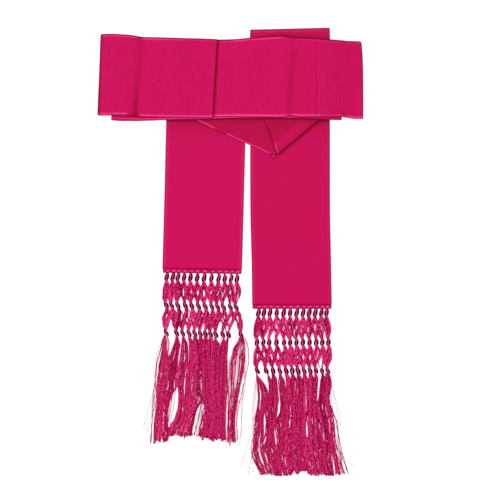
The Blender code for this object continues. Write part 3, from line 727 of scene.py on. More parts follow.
# Painted shade round the top fold
TOP_FOLD_DARK = ((0.0, 0.4), (0.3, 1.0), (2.7, 1.0), (3.1, 0.0))
top_fold_shade = 1 - FOLD_DARKNESS * eased(round_the_fold[1:], TOP_FOLD_DARK)
top_fold_shade = np.append(top_fold_shade[::-1], 0.9)[:, None]

# Its selvages' painted highlight is soft and wide on the tail, and bright and narrow on the diagonal's
# left side.
left_shine = np.concatenate([
    np.full(tail[:-1].shape[:2], 0.12), np.full(top_fold.shape[:2], 0.1), eased(over_y, OVER_SHINE),
    np.full(slant_fold.shape[:2], 0.3), eased(under_x[1:], UNDER_SHINE)])
diagonal = len(tail) - 1 + len(top_fold)
on_diagonal = (np.arange(len(right_fall_middle)) >= diagonal)[:, None]
place, spread = np.where(on_diagonal, 1.2, 2.6), np.where(on_diagonal, 0.68, 2.0)
fall_shine, fall_rim_shade = selvages(right_fall_middle, ((left_shine, place, spread), (0.05, place, spread)),
                                ((0.4, 0.0, 0.9),) * 2)
# The painted shade of each stretch, the slanted fold darker, times the selvages' painted dark outline
fall_shade = np.concatenate([
    tail_shade[:-1], np.broadcast_to(top_fold_shade, top_fold.shape[:2]), over_shade,
    np.full(slant_fold.shape[:2], 0.6), under_shade[1:]]) * fall_rim_shade
# On the diagonal the painted highlight lifts the painted shade, and a painted highlight runs just below the
# top fold
fall_shade += (1 - fall_shade) * (fall_shine * on_diagonal).clip(0, 1) * 0.8
fall_shine[diagonal:diagonal + len(over)] += 0.5 * bump(below_top - 1.2, 1.2)
right_fall = cloth_shell("right_fall", right_fall_middle, fall_shine, fall_shade, falls_faille, hem=0.3)
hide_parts("right_tail", "diagonal_over", "diagonal_under")

# Where the slanted fold ends, its selvage rolls into a small loop below the corner. columns: x, y, z
ROLL = ((65.4, 162.6, 1.9), (67.6, 159.4, 1.9), (71.0, 158.0, 2.2), (74.2, 159.3, 2.2), (75.6, 162.4, 2.0))
ROLL_STATIONS = 20
ROLL_SIDES = 8
roll = through(np.arange(len(ROLL)), np.array(ROLL).T, np.linspace(0, len(ROLL) - 1, ROLL_STATIONS)).T
roll_points, roll_faces = tubes(roll[None], 1.15, 0.7, ROLL_SIDES, (0.0, 1.0, 0.0))
# Its painted highlight lies on its upper sides at its middle, and painted shade darkens it towards both ends
along_roll = np.repeat(np.linspace(-1, 1, ROLL_STATIONS), ROLL_SIDES)
facing_up = np.sin(np.arange(ROLL_SIDES) * 2 * np.pi / ROLL_SIDES + np.pi / 2).clip(0, 1)
roll_values = [("shine", 0.75 * bump(along_roll, 0.45) * np.tile(facing_up, ROLL_STATIONS)),
               ("shade", 0.5 + 0.45 * bump(along_roll, 0.5))]
rolled_selvage = put_mesh("right_fall_rolled_selvage", roll_points, roll_faces, falls_faille, roll_values,
                          roll_points[:, :2] * MM)
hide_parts("diagonal_under")

# The left fall lies flat from its hem to its hidden top, with a soft painted highlight along its selvages,
# and a painted shadow just below what covers it.
left_plan = plan_of(LEFT_TAIL, TAIL_STEP, TAIL_SHARES)
left_middle = raised(left_plan, lying_tail(left_plan, 1.9))
left_shine, left_shade = selvages(left_middle, ((0.12, 2.6, 2.0),) * 2, ((0.4, 0.0, 0.9),) * 2)
selvage_above = np.array(DIAGONAL_UNDER)[::-1, :2]
left_x = left_plan[..., 0]
edge_above = np.interp(left_x, selvage_above[:, 0], selvage_above[:, 1]).clip(None, WAIST_LOWER_EDGE)
deepest = eased(left_x, ((-58.0, 0.27), (-38.0, 0.22), (5.0, 0.06)))
left_shade *= under_the_waist(left_plan, edge_above, deepest)
left_fall = cloth_shell("left_fall", left_middle, left_shine, left_shade, falls_faille, hem=0.3)
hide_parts("left_tail")


# The fringes
# Each tail ends in a netted fringe of silky thread. Twelve thread loops go over the tail's rolled hem, and
# their ends are knotted in three rows, crossing between the rows, before they hang free.

# The columns of knots, with the lock below each.
# columns: x at knot rows 1, 2 and 3, lock x a fifth, half and four fifths of the way down, end x, end y,
# the lock's threads, and the share of them that cross its partings
LEFT_COLUMNS = (
    (-105.0, -106.0, -106.0, -108.5, -114.5, -117.5, -121.0, -312.5, 70, 0.05),
    (-95.0, -97.3, -89.0, -93.0, -102.0, -108.5, -110.5, -311.5, 60, 0.12),
    (-86.5, -87.0, -79.0, -76.0, -83.0, -84.0, -98.0, -304.0, 64, 0.05),
    (-76.5, -74.5, -68.5, -64.0, -71.0, -71.5, -85.0, -303.5, 60, 0.06),
    (-66.0, -64.0, -59.0, -55.0, -59.5, -64.0, -71.5, -304.0, 56, 0.25),
    (-55.0, -53.0, -50.0, -47.5, -47.5, -41.5, -50.5, -303.5, 56, 0.14),
    (-43.5, -42.0, -41.5, -40.5, -40.0, -36.0, -43.0, -305.0, 60, 0.03),
    (-31.5, -31.0, -33.0, -32.5, -33.0, -30.5, -36.0, -307.5, 66, 0.03),
    (-19.5, -21.5, -24.5, -24.5, -26.0, -25.0, -29.5, -309.0, 66, 0.03),
    (-9.5, -12.0, -13.0, -15.5, -18.5, -19.5, -23.0, -309.0, 66, 0.03),
    (1.0, -0.5, -3.5, -7.5, -10.5, -13.0, -15.5, -310.5, 66, 0.03),
    (10.5, 9.0, 17.0, 17.5, 9.0, 1.0, 1.5, -315.5, 46, 0.03),
)
RIGHT_COLUMNS = (
    (46.0, 43.5, 44.0, 52.0, 50.0, 46.5, 61.5, -366.5, 50, 0.06),
    (55.0, 54.0, 58.5, 63.5, 61.5, 60.0, 70.0, -368.5, 58, 0.05),
    (65.0, 63.5, 70.0, 72.5, 71.5, 69.5, 79.5, -369.0, 62, 0.08),
    (76.0, 75.5, 81.0, 83.0, 83.5, 82.5, 89.5, -368.5, 62, 0.05),
    (87.5, 88.0, 91.5, 93.5, 94.5, 93.0, 98.0, -366.5, 62, 0.05),
    (98.0, 98.0, 101.5, 103.5, 104.5, 103.0, 108.5, -365.0, 62, 0.05),
    (109.0, 108.5, 111.0, 113.5, 114.0, 113.5, 120.0, -361.5, 62, 0.05),
    (119.5, 119.0, 121.0, 122.5, 123.5, 126.5, 132.5, -366.5, 62, 0.08),
    (129.5, 130.0, 131.0, 132.0, 133.0, 136.5, 144.0, -368.5, 62, 0.05),
    (139.5, 141.0, 140.5, 141.5, 143.0, 146.5, 155.5, -368.5, 62, 0.05),
    (149.5, 151.0, 150.5, 151.0, 153.0, 156.5, 166.5, -368.5, 62, 0.05),
    (158.0, 161.0, 160.0, 160.5, 162.5, 166.5, 177.5, -365.0, 56, 0.05),
)
# The hems. columns: left x, y, right x, y, how far the rows of knots fall from left to right
LEFT_HEM = (-111.8, -27.1, 18.6, -29.1, 3.5)
RIGHT_HEM = (35.6, -86.5, 166.6, -86.5, 0.0)
# The rows of knots. columns: y at the left, how the turns slant, how far right a knot's foot lies of its top
LEFT_ROWS = ((-40.5, 0.7, 0.0), (-87.0, -0.75, 4.2), (-132.5, -0.8, 1.6))
RIGHT_ROWS = ((-99.5, 0.7, 0.0), (-148.5, 0.55, 2.6), (-195.0, -0.45, 3.4))
# Where the net's threads part, first above the second row of knots, then below it.
# columns: top x, top y, foot x, foot y, half the width
LEFT_SLITS = (
    (-94, -73, -91.5, -89, 2), (-82, -72, -79, -89, 2.5), (-77.5, -56, -78, -74, 1.3),
    (-66, -60, -63.5, -69, 0.7), (-59, -75, -59, -89, 2), (-44, -59, -46, -73, 0.6),
    (-38, -75, -36, -89, 2), (-11, -61, -14, -77, 1), (-6.5, -72, -5, -89, 2.8),
    (6.5, -55, 8.5, -69, 1.2), (12, -66, 12, -80, 1),
    (-98, -110, -99, -136, 3), (-94, -100, -90, -112, 0.7), (-85, -121, -84, -136, 2.5),
    (-80, -99, -81, -114, 1.5), (-74, -117, -73, -136, 2), (-68, -95, -69, -111, 1.7),
    (-63, -119, -63, -136, 1.5), (-57.5, -102, -58, -110, 0.6), (-55, -122, -54, -136, 1.5),
    (-46, -101, -48, -110, 1), (-43, -115, -46, -136, 1.6), (-30, -122, -31, -134, 0.8),
    (-16, -114, -20, -136, 4), (-11, -103, -9, -112, 1.3), (-4, -121, -7, -136, 2),
    (2, -105, 0, -117, 1), (11, -103, 14, -119, 1), (8, -112, 7, -136, 4),
)
RIGHT_SLITS = (
    (57, -115, 57.5, -121, 0.7), (63, -124, 58, -148, 1.5), (66, -116, 68, -123, 0.7),
    (73, -129, 69, -148, 2.2), (79, -112, 79, -120, 1), (82, -134, 82, -148, 2.5),
    (87, -115, 87, -122, 0.6), (92, -112, 90.5, -120, 0.8), (104.5, -107, 102.5, -118, 1),
    (107, -123, 104, -138, 1.2), (117, -122, 115, -132, 0.8), (122, -135, 124, -148, 2.7),
    (128.5, -121, 127, -133, 1.2), (135, -132, 136, -148, 2.7), (138, -119, 140, -133, 1.3),
    (148, -113, 146, -125, 0.7), (154, -128, 156, -148, 2),
    (48, -151, 51, -164, 2.2), (51, -179, 51, -196, 3.2), (56, -167, 57, -176, 0.7),
    (66, -165, 69, -178, 1), (70, -150, 70.5, -164, 2.2), (77.5, -163, 78.5, -179, 1.4),
    (84, -150, 85, -165, 3.2), (92, -167, 90.5, -176, 0.7), (121, -168, 120, -180, 0.8),
    (132, -167, 131.5, -176, 0.8), (145, -159, 142, -177, 1.2), (150, -172, 147, -196, 2.4),
)
# Where the free locks part. columns: after which lock, top x, y, foot x, y, half the widest width
LEFT_PARTINGS = (
    (1, -99.0, -132.0, -102.0, -173.0, 4.4),
    (2, -80.0, -141.0, -91.0, -221.0, 1.1),
    (2, -89.0, -222.0, -98.5, -288.0, 8.0),
    (3, -71.0, -138.0, -67.8, -174.0, 1.1),
    (4, -62.0, -139.0, -57.5, -175.0, 1.2),
    (4, -61.5, -186.0, -64.5, -230.0, 1.4),
    (5, -47.5, -184.0, -50.0, -243.0, 1.8),
    (5, -46.0, -248.0, -58.5, -309.0, 8.2),
    (9, -17.0, -130.0, -16.0, -150.0, 2.8),
    (11, -3.6, -140.0, -7.0, -312.0, 0.4),
)
RIGHT_PARTINGS = (
    (1, 48.0, -182.0, 63.0, -229.0, 4.4),
    (1, 55.9, -266.0, 56.2, -320.0, 1.7),
    (1, 53.5, -322.0, 64.0, -360.0, 1.4),
    (2, 67.5, -332.0, 76.0, -369.0, 1.2),
    (3, 76.0, -190.0, 81.5, -252.0, 1.1),
    (3, 80.6, -246.0, 78.8, -278.0, 2.0),
    (3, 71.6, -282.0, 76.2, -324.0, 1.3),
    (4, 88.5, -186.0, 92.5, -238.0, 0.9),
    (5, 96.3, -278.0, 96.6, -292.0, 1.0),
    (8, 125.2, -276.0, 126.0, -310.0, 1.7),
    (10, 149.0, -184.0, 142.4, -251.0, 1.9),
    (10, 151.0, -284.0, 156.5, -330.0, 0.9),
    (11, 160.5, -262.0, 167.5, -318.0, 1.3),
    (11, 167.0, -326.0, 172.5, -364.0, 1.4),
)
# How far the last lock reaches right of its middle. columns: share of the way down, reach
LEFT_LAST_REACH = ((0.0, 6.0), (1.0, 6.0))
RIGHT_LAST_REACH = ((0.0, 2.0), (0.1, 2.2), (0.27, 0.8), (0.5, 4.0), (1.0, 5.5))
# How the outermost locks fray: whether a stray thread starts from the lock's edge, its spread as a share of
# the lock's width, and its spread in millimetres at the left and at the right side
LEFT_FRAY = (0.0, 1.0, 0.0, 0.0)
RIGHT_FRAY = (1.0, 0.1, 7.0, 17.0)

HEM_EDGE_HEIGHT = 6.4
HEM_HALF_WIDTH = 3.5
HEM_HALF_HEIGHT = 1.02
HEM_SHORT = 0.3            # how far it stops inside both selvages
HEM_STITCHES = 26
STITCH_FILL = (0.05, 0.93)     # what a stitch fills of its pitch
LOOP_THREADS = 5
# A loop's way from under the hem to the knot, where its y is the knot's own. columns: share of the way, how
# far right of the knot and below the hem's top its middle runs, its height, its threads' spread in x and y
LOOP_PLACES = (
    (0.0, 3.4, 1.6, 1.6, 0.9, 0.0),
    (0.25, 2.6, 2.5, 2.3, 1.5, 0.3),
    (0.5, 1.1, 4.2, 2.45, 1.9, 0.5),
    (0.78, -0.2, 6.4, 1.9, 1.2, 0.0),
    (1.0, 0.0, 0.0, 2.0, 0.9, 0.0),
)
KNOT_LENGTH = 10.0
KNOT_HALF_LENGTHS = (5.7, 4.7, 4.6)  # of a turn's middle line, in rows 1, 2 and 3
# A knot's two side turns are painted dark, as painted shade on its sides, and its slanting turn pale, as a
# painted highlight
TURN_BOW = 2.05            # how far a dark turn bows out from the knot's middle
# The turns of a knot. columns: height at its ends, rise at its middle, half thickness at its ends, gain at
# its middle, how high it is for its width
SHADED_SIDE_TURN = (2.0, 0.4, 0.88, 0.78, 0.95)
HIGHLIT_TURN = (2.6, 1.0, 0.55, 0.22, 1.0)
THREAD = 0.74              # half a net thread's width
FINE_THREAD = 0.52         # half a free thread's width
NET_THREADS = 15           # in each bundle between two knots
NET_STATIONS = 18
SLIT_SHARPNESS = 0.3       # the power by which a slit narrows to its ends
PARTING_SHARPNESS = 0.7    # and a parting
STRANDS_IN_A_LOCK = 6
SKIRT_STATIONS = 44
LOOSENED_SHARE = 0.3       # of the outermost locks' threads
CUT_LENGTH = 172.0         # about a free thread's length, by which the uneven ends are scaled
SKIRT_LOWEST = -368.8      # no thread ends lower than this
MIDDLE_THREAD = (0.62, 0.008, 0.115, 1.0)
PALE_THREAD = (1.0, 0.075, 0.36, 1.0)


def joined(parts):
    """Several (points, faces, numbers per point) parts as one."""
    points, faces, numbers, first = [], [], [], 0
    for part_points, part_faces, part_numbers in parts:
        points.append(part_points)
        faces += [[corner + first for corner in face] for face in part_faces]
        numbers.append(part_numbers)
        first += len(part_points)
    return np.concatenate(points), faces, np.concatenate(numbers)


def silky_thread(name, fleck_amount, darkest):
    """The fringe's thread: each has its own tone, from deep maroon through fuchsia to pale pink.

    A fine fleck stands for its twist. It swings the tone and raises the surface as a bump.
    """
    material, tree, shader = new_material(name)
    tone = add_node(tree, "ShaderNodeAttribute", attribute_name="tone").outputs["Fac"]
    place = add_node(tree, "ShaderNodeTexCoord").outputs["Object"]
    fleck = noise(tree, place, (900.0, 380.0, 500.0))
    flecked = arithmetic(tree, "MULTIPLY", arithmetic(tree, "SUBTRACT", fleck, 0.5), fleck_amount)
    ramp = add_node(tree, "ShaderNodeValToRGB")
    low, high = ramp.color_ramp.elements
    low.position, low.color = 0.0, darkest
    high.position, high.color = 1.0, PALE_THREAD
    ramp.color_ramp.elements.new(0.5).color = MIDDLE_THREAD
    tree.links.new(arithmetic(tree, "ADD", tone, flecked), ramp.inputs[0])
    tree.links.new(ramp.outputs[0], shader.inputs["Base Color"])
    twist = add_node(tree, "ShaderNodeBump", socket_Strength=0.4, socket_Distance=0.0001)
    tree.links.new(fleck, twist.inputs["Height"])
    tree.links.new(twist.outputs[0], shader.inputs["Normal"])
    set_sockets(shader, {"Roughness": 0.45, "Specular IOR Level": 0.0})
    return material


def on_hem(hem, share):
    """x and y at a share of the way along the straight line of a hem's top."""
    left_x, left_y, right_x, right_y = hem[:4]
    return left_x + (right_x - left_x) * share, left_y + (right_y - left_y) * share


def hem_edge(hem, columns):
    """The rolled hem: a flattened tube along the tail's end, a little higher and paler under each loop."""
    sides = 16
    way = np.linspace(0, 1, 160)
    x, y = on_hem(hem, way)
    x += HEM_SHORT * (1 - 2 * way)
    y -= HEM_EDGE_HEIGHT * 0.51
    under_loop = bump(np.abs(x[:, None] - columns[:, 0] - 1.6).min(axis=1), 2.6)
    taper = np.sqrt(np.clip(np.minimum(way, 1 - way) / 0.006, 0.15, 1))
    path = np.stack([x, y, 1.2 + 0.15 * under_loop], axis=-1)[None]
    half_width = (HEM_HALF_WIDTH + 0.35 * under_loop) * taper
    points, faces = tubes(path, half_width[None], (HEM_HALF_HEIGHT * taper)[None], sides, (0.0, 1.0, 0.0))
    # Painted shade darkens the roll towards its two long edges
    around = np.abs((points[:, 1].reshape(len(x), sides) - y[:, None]) / 3.6)
    return points, faces, (0.40 + 0.1 * under_loop[:, None] - 0.42 * around ** 4).ravel()


def hem_stitches(hem, columns, shaker):
    """The stitches over the hem: ticks in a row where the tail meets its rolled edge, darker over a loop."""
    stations = 6
    share = (np.arange(HEM_STITCHES)[:, None] + np.linspace(*STITCH_FILL, stations)) / HEM_STITCHES
    x, y = on_hem(hem, share)
    y += shaker.normal(0, 0.12, (HEM_STITCHES, 1)) + np.linspace(0.25, -0.25, stations) - 0.8
    z = 1.5 + 0.35 * np.sin(np.linspace(0, np.pi, stations))
    points, faces = tubes(np.stack(np.broadcast_arrays(x, y, z), axis=-1), 0.7, 0.4, 6, (0.0, 1.0, 0.0))
    over_loop = bump(np.abs(points[:, :1] - columns[:, 0] - 2.2).min(axis=1), 2.3)
    return points, faces, 0.36 - 0.34 * over_loop


def loop_threads(hem, columns, rows_y, shaker):
    """The loops: threads that rise from under the hem, go over it on a slant and down to the first knot.

    Each is a smooth curve through the five places of the loops' table. The last one lies at the knot.
    """
    stations, sides = 14, 5
    share, right_of_knot, below_top, height, spread_x, spread_y = np.array(LOOP_PLACES).T
    rank = np.linspace(-1, 1, LOOP_THREADS)[:, None]
    foot_x = columns[:, 0, None, None]
    top_y = on_hem(hem, (foot_x - hem[0]) / (hem[2] - hem[0]))[1]
    x = foot_x + right_of_knot + spread_x * rank
    y = top_y - below_top + spread_y * rank
    y[..., -1] = rows_y[0][:, None] + KNOT_LENGTH * 0.35
    way = np.linspace(0, 1, stations)
    places = np.stack(np.broadcast_arrays(x, y, height), axis=2)
    paths = through(share, places, way).transpose(0, 1, 3, 2)
    points, faces = tubes(paths.reshape(-1, stations, 3), 0.5, 0.42, sides)
    thread_tone = 0.12 * shaker.normal(size=x.shape[:2]).ravel()
    # Each loop is painted darker at both ends, as shade where it goes under the hem and into the knot, and
    # paler where it rides over the hem
    tone = thread_tone[:, None] + 0.2 + 0.78 * bump(way - 0.36, 0.26)
    return points, faces, np.repeat(tone.ravel(), sides)


def knots(columns, rows, rows_y, shaker):
    """Overhand knots: two turns bow out left and right of each, painted dark as shade on the knot's sides,
    and a paler one, a painted highlight, slants over them.

    Every turn is a tube whose bow, height and thickness follow the half circle sqrt(1 - way^2), with way
    running from -1 at the knot's top to 1 at its foot. The rows' table slants the turns, from top right to
    foot left where it is above 0, and carries each knot's foot to the right of its top.
    """
    sides = 8
    x = columns[:, :3].T.ravel()
    row = np.repeat([0, 1, 2], len(columns))
    way = np.linspace(-1, 1, 14)
    bow = np.sqrt(np.clip(1 - way ** 2, 0, 1))
    lean = rows[row, 1, None] + 0.2 * shaker.normal(size=(len(x), 1))
    size = 1 + 0.05 * shaker.normal(size=(len(x), 1))
    slant = (0.2 * rows[row, 2, None] - lean * 1.3) * way
    middle_y = rows_y.ravel()[:, None] - way * np.array(KNOT_HALF_LENGTHS)[row, None] * size

    def turn(turn_x, turn_y, sizes, fullness=1.0):
        """Points and faces, and for each point how far right of its middle line it is, and the thickness."""
        low, rise, thin, gain, flatness = sizes
        path = np.stack(np.broadcast_arrays(turn_x, turn_y, low + rise * bow), axis=-1)
        thick = (thin + gain * bow)[None] * fullness
        points, faces = tubes(path, thick, thick * flatness, sides)
        aside = points[:, 0].reshape(len(x), -1) - np.repeat(turn_x, sides, axis=1)
        return points, faces, aside, np.repeat(thick[0], sides)

    parts = []
    for side in (-1.0, 1.0):
        turn_x = x[:, None] + slant + side * (0.3 + TURN_BOW * bow * (1 + 0.2 * way)) * size
        points, faces, aside, thick = turn(turn_x, middle_y + side * lean, SHADED_SIDE_TURN, 1 + 0.07 * side)
        outward = (side * aside / thick).clip(0, 1)
        # Painted shade: the side turns are darkest at their middles, lighter towards their ends and at their
        # outer edge
        tone = -0.14 + 0.35 * np.repeat((1 - bow) ** 2, sides) + 0.6 * outward ** 5
        parts.append((points, faces, (tone + shaker.normal(0, 0.06, (len(x), 1))).ravel()))
    points, faces, aside, thick = turn(x[:, None] + slant * 1.1, middle_y, HIGHLIT_TURN)
    # The slanting turn is painted pale, as a painted highlight, with painted shade towards its sides
    tone = 0.85 - 0.5 * aside ** 2 + shaker.normal(0, 0.08, (len(x), 1))
    parts.append((points, faces, tone.clip(0.1, 0.9).ravel()))
    return parts


def parted(x, y, slits):
    """The threads' x, drawn aside from each slit's straight line.

    A thread keeps to the side of the line where it lies, mostly that of its end beside a knot. It keeps away
    from it by (space + 3) * (1 - (0.88 u)^2)^sharpness - 3, with u from -1 to 1 along the slit. The space is
    most of the slit's half width and a part of the thread's.
    """
    near_knot = 0.05 + np.abs(np.linspace(-1, 1, x.shape[-1])) ** 4
    for top_x, top_y, foot_x, foot_y, half_width in slits:
        u = 2 * (y - top_y) / (foot_y - top_y) - 1
        inside = np.clip(1 - (0.88 * u) ** 2, 0, 1)
        offset = x - (top_x + (foot_x - top_x) * (u + 1) / 2)
        side = np.where((offset * inside * near_knot).sum(axis=-1, keepdims=True) < 0, -1, 1)
        least = (0.9 * half_width + 0.4 * THREAD + 3) * inside ** SLIT_SHARPNESS - 3
        x = x + side * np.clip(least - offset * side, 0, None) * (inside > 0)
    x[..., 1:-1] = x[..., :-2] / 4 + x[..., 1:-1] / 2 + x[..., 2:] / 4
    return x


def net_threads(columns, rows, rows_y, slits, shaker):
    """The net: from each knot two bundles part to the neighbours' knots below, fanning out between them.

    A thread's x is its bundle's middle, which eases over from knot to knot, and its rank times a width that
    swells by the fan sin(pi way)^0.8, with a slow sway of its own. At an end of a row a bundle turns back.
    """
    count = len(columns)
    way = np.linspace(0, 1, NET_STATIONS)
    ease = way ** 2 * (3 - 2 * way) * 0.55 + way * 0.45
    fan = np.sin(np.pi * way) ** 0.8
    parts = []
    for row, drop in ((0, 5.0), (1, 4.0)):
        drift, next_drift = rows[row:row + 2, 2]
        pushed = 0.6 * drift * bump(way - 0.17, 0.13) - 0.6 * next_drift * bump(way - 0.83, 0.13)
        for side in (-1, 1):
            # The bundle's two ends, at its own knot and at the neighbour's below.
            target = np.arange(count) + side
            turned = (target < 0) | (target >= count)
            target = target.clip(0, count - 1)
            from_x, to_x = columns[:, row, None, None], columns[target, row + 1, None, None]
            from_y = rows_y[row, :, None, None] - drop
            to_y = rows_y[row + 1, target, None, None] + 4.0
            # Its threads, fanned out, and laid over or under the bundle that they cross.
            rank = np.linspace(-1, 1, NET_THREADS)[:, None] + shaker.normal(0, 0.12, (count, NET_THREADS, 1))
            bow = np.where(turned, side * 3.4, 0.0)[:, None, None] * fan
            width = np.where(turned, 1.4, 2.4)[:, None, None] * (0.85 + 0.3 * shaker.random((count, 1, 1)))
            sways = shaker.normal(0, 0.65, (count, NET_THREADS, 5))
            sway = through(np.linspace(0, 1, 5), sways, way) * fan
            x = from_x + (to_x - from_x) * ease + bow + pushed + rank * (1.0 + width * fan) + sway
            y = np.broadcast_to(from_y + (to_y - from_y) * way, x.shape)
            x = parted(x, y, slits)
            over = side == (1 if row == 0 else -1)
            jitter = shaker.normal(0, 0.35, (count, NET_THREADS, 1)).clip(-0.7, 0.8)
            z = 2.0 + ((2.6 if over else 1.3) + jitter - 2.0) * np.sqrt(fan)
            paths = np.stack([x, y, z], axis=-1).reshape(-1, NET_STATIONS, 3)
            points, faces = tubes(paths, THREAD, THREAD * 0.85, 4)
            tone = shaker.normal(0.47, 0.25, len(paths)).clip(0.0, 1.0)
            parts.append((points, faces, np.repeat(tone, NET_STATIONS * 4)))
    return joined(parts)


def lock_edges(columns, rows, rows_y, partings, last_reach, way):
    """The left and right edge of every free lock, and its y, at each share of its way down.

    Neighbours share the line midway between them. A parting draws that line over to its own straight line,
    and opens it by its half width times (1 - u^2)^sharpness, with u from -1 at its top to 1 at its foot.
    """
    root, next_x = columns[:, 2], columns[:, 3]
    below_root = root * 0.75 + next_x * 0.25 + 0.5 * rows[2, 2]
    centres = np.column_stack([root, below_root, columns[:, 3:7]])
    centre = through((0.0, 0.05, 0.2, 0.5, 0.8, 1.0), centres, way)
    root_y = rows_y[2] - KNOT_LENGTH * 0.4
    y = root_y[:, None] + (columns[:, 7] - root_y)[:, None] * way
    between = (centre[1:] + centre[:-1]) / 2
    opened = np.zeros_like(between)
    for after, top_x, top_y, foot_x, foot_y, half_width in partings:
        u = 2 * (y[after] - top_y) / (foot_y - top_y) - 1
        drawn = bump(np.clip(np.abs(u) - 1, 0, None), 0.5)
        line = top_x + (foot_x - top_x) * (u.clip(-1.3, 1.3) + 1) / 2
        between[after - 1] += (line - between[after - 1]) * drawn
        opened[after - 1] += half_width * np.clip(1 - u ** 2, 0, 1) ** PARTING_SHARPNESS
    left = np.vstack([centre[:1] - 4.5 - 2.0 * way, between])
    right = np.vstack([between, centre[-1:] + eased(way, last_reach)])
    reach = np.tile(eased(way, ((0.0, 2.2), (0.13, 9.5), (0.35, 16.0), (1.0, 16.0))), (len(centre), 1))
    reach[-1] *= 1.8
    return np.maximum(left, centre - reach), np.minimum(right, centre + reach), opened, y


def skirt_threads(columns, rows, rows_y, partings, last_reach, fray, shaker):
    """The free locks: fine threads that fan out from the last knots to their lock's edges, in loose strands.

    A thread keeps its rank between the two edges. Its strand's slow sway, its own smaller one and a short
    crimp are added to it, each a smooth curve through random offsets. A few threads cross the partings, and
    some of the outermost locks' threads are loosened: they start from the edge and stray outward lower down.
    """
    way = np.linspace(0, 1, SKIRT_STATIONS)
    left, right, opened, y = lock_edges(columns, rows, rows_y, partings, last_reach, way)
    closed = np.zeros((1, SKIRT_STATIONS))
    open_left, open_right = np.vstack([closed, opened]), np.vstack([opened, closed])
    last = len(columns) - 1
    lock = np.repeat(np.arange(last + 1), columns[:, 8].astype(int))
    total = len(lock)
    # The threads' ranks, and how far the loosened ones stray.
    rank = shaker.random(total)
    rank[lock == last] **= 0.7
    outward = np.select([lock == 0, lock == last], [-1, 1], 0)
    loosened = (shaker.random(total) < LOOSENED_SHARE) * np.abs(shaker.normal(0, 0.34, total))
    from_edge, by_width, left_spread, right_spread = fray
    rank += from_edge * (np.clip(outward, 0, 1) - rank) * (loosened * outward != 0)
    rank += by_width * loosened * outward
    astray = (loosened * np.select([outward < 0, outward > 0], [-left_spread, right_spread], 0.0))[:, None]
    # The strands that they fall into, and the sways.
    strand = lock * STRANDS_IN_A_LOCK + (rank.clip(0, 0.999) * STRANDS_IN_A_LOCK).astype(int)
    strands = strand.max() + 1
    sways = np.linspace(0, 1, 7)
    strand_sway = through(sways, shaker.normal(0, 0.6, (strands, 7)), way)[strand]
    own_sway = through(sways, shaker.normal(0, 0.7, (total, 7)), way)
    crimp = through(np.linspace(0, 1, 22), shaker.normal(0, 0.42, (total, 22)), way)
    loose = 0.12 + 0.88 * np.sqrt(way)
    # Their places between the edges of the lock, down to uneven ends.
    keeps_clear = (shaker.random(total) > columns[lock, 9])[:, None]
    low = left[lock] + open_left[lock] * keeps_clear
    high = right[lock] - open_right[lock] * keeps_clear
    x = low + (high - low) * rank[:, None] + (strand_sway + own_sway + crimp) * loose
    cut = shaker.normal(0, 1.8, strands)[strand] - np.abs(shaker.normal(0, 2.6, total))
    top = y[lock, :1]
    y = top + (y[lock] - top) * (1 + cut[:, None] / CUT_LENGTH)
    x += astray * eased(way, ((0.0, 0.0), (0.22, 0.08), (0.5, 0.75), (0.8, 1.0), (1.0, 1.0)))
    x += (own_sway + 0.8 * crimp) * (astray != 0) * loose
    z = 0.5 + 1.9 * shaker.random((total, 1)) * (1 - 0.4 * way) + 0.5 * np.exp(-way / 0.05)
    paths = np.stack([x, np.maximum(y, SKIRT_LOWEST), z], axis=-1)
    points, faces = tubes(paths, FINE_THREAD, FINE_THREAD * 0.8, 3)
    strand_tone = shaker.normal(0, 0.05, strands)[strand]
    tone = (0.475 + strand_tone + shaker.normal(0, 0.19, total)).clip(0.0, 1.0)
    return points, faces, np.repeat(tone, SKIRT_STATIONS * 3)


# Stray hairs beside each skirt. columns: root x, root y, x and y a third, two thirds and all the way down
LEFT_STRAYS = (
    (-107.0, -138.0, -121.0, -175.0, -125.5, -220.0, -144.0, -289.0),
    (-107.0, -139.0, -123.0, -172.0, -121.0, -232.0, -138.0, -297.0),
    (-106.0, -139.0, -117.0, -180.0, -128.0, -235.0, -131.0, -270.0),
    (-105.5, -139.0, -115.0, -170.0, -119.0, -215.0, -125.0, -262.0),
    (17.0, -138.0, 24.0, -170.0, 22.0, -225.0, 15.0, -318.0),
    (17.5, -138.0, 26.0, -182.0, 19.0, -240.0, 17.5, -305.0),
    (18.0, -138.0, 20.0, -178.0, 24.5, -220.0, 13.0, -262.0),
    (16.0, -140.0, 10.0, -180.0, 5.0, -235.0, 4.0, -306.0),
    (16.0, -140.0, 7.0, -172.0, 1.5, -230.0, -1.0, -300.0),
)
RIGHT_STRAYS = (
    (44.0, -201.0, 38.5, -245.0, 33.0, -300.0, 15.5, -353.5),
    (44.0, -201.0, 36.5, -250.0, 38.0, -310.0, 29.0, -366.0),
    (44.5, -202.0, 40.0, -255.0, 34.5, -320.0, 38.0, -362.0),
    (161.0, -201.0, 171.0, -235.0, 178.5, -262.0, 181.5, -287.0),
    (161.0, -201.0, 173.0, -250.0, 180.0, -310.0, 193.0, -363.0),
    (161.0, -202.0, 168.0, -255.0, 176.0, -320.0, 204.0, -355.0),
    (160.5, -202.0, 166.0, -240.0, 171.0, -290.0, 176.0, -352.0),
)
HAIR = (0.24, 0.2)         # half a stray hair's width and height
# The stray hairs are painted dark, as the shade on a thin thread's sides
HAIR_SHADED_TONE = 0.12


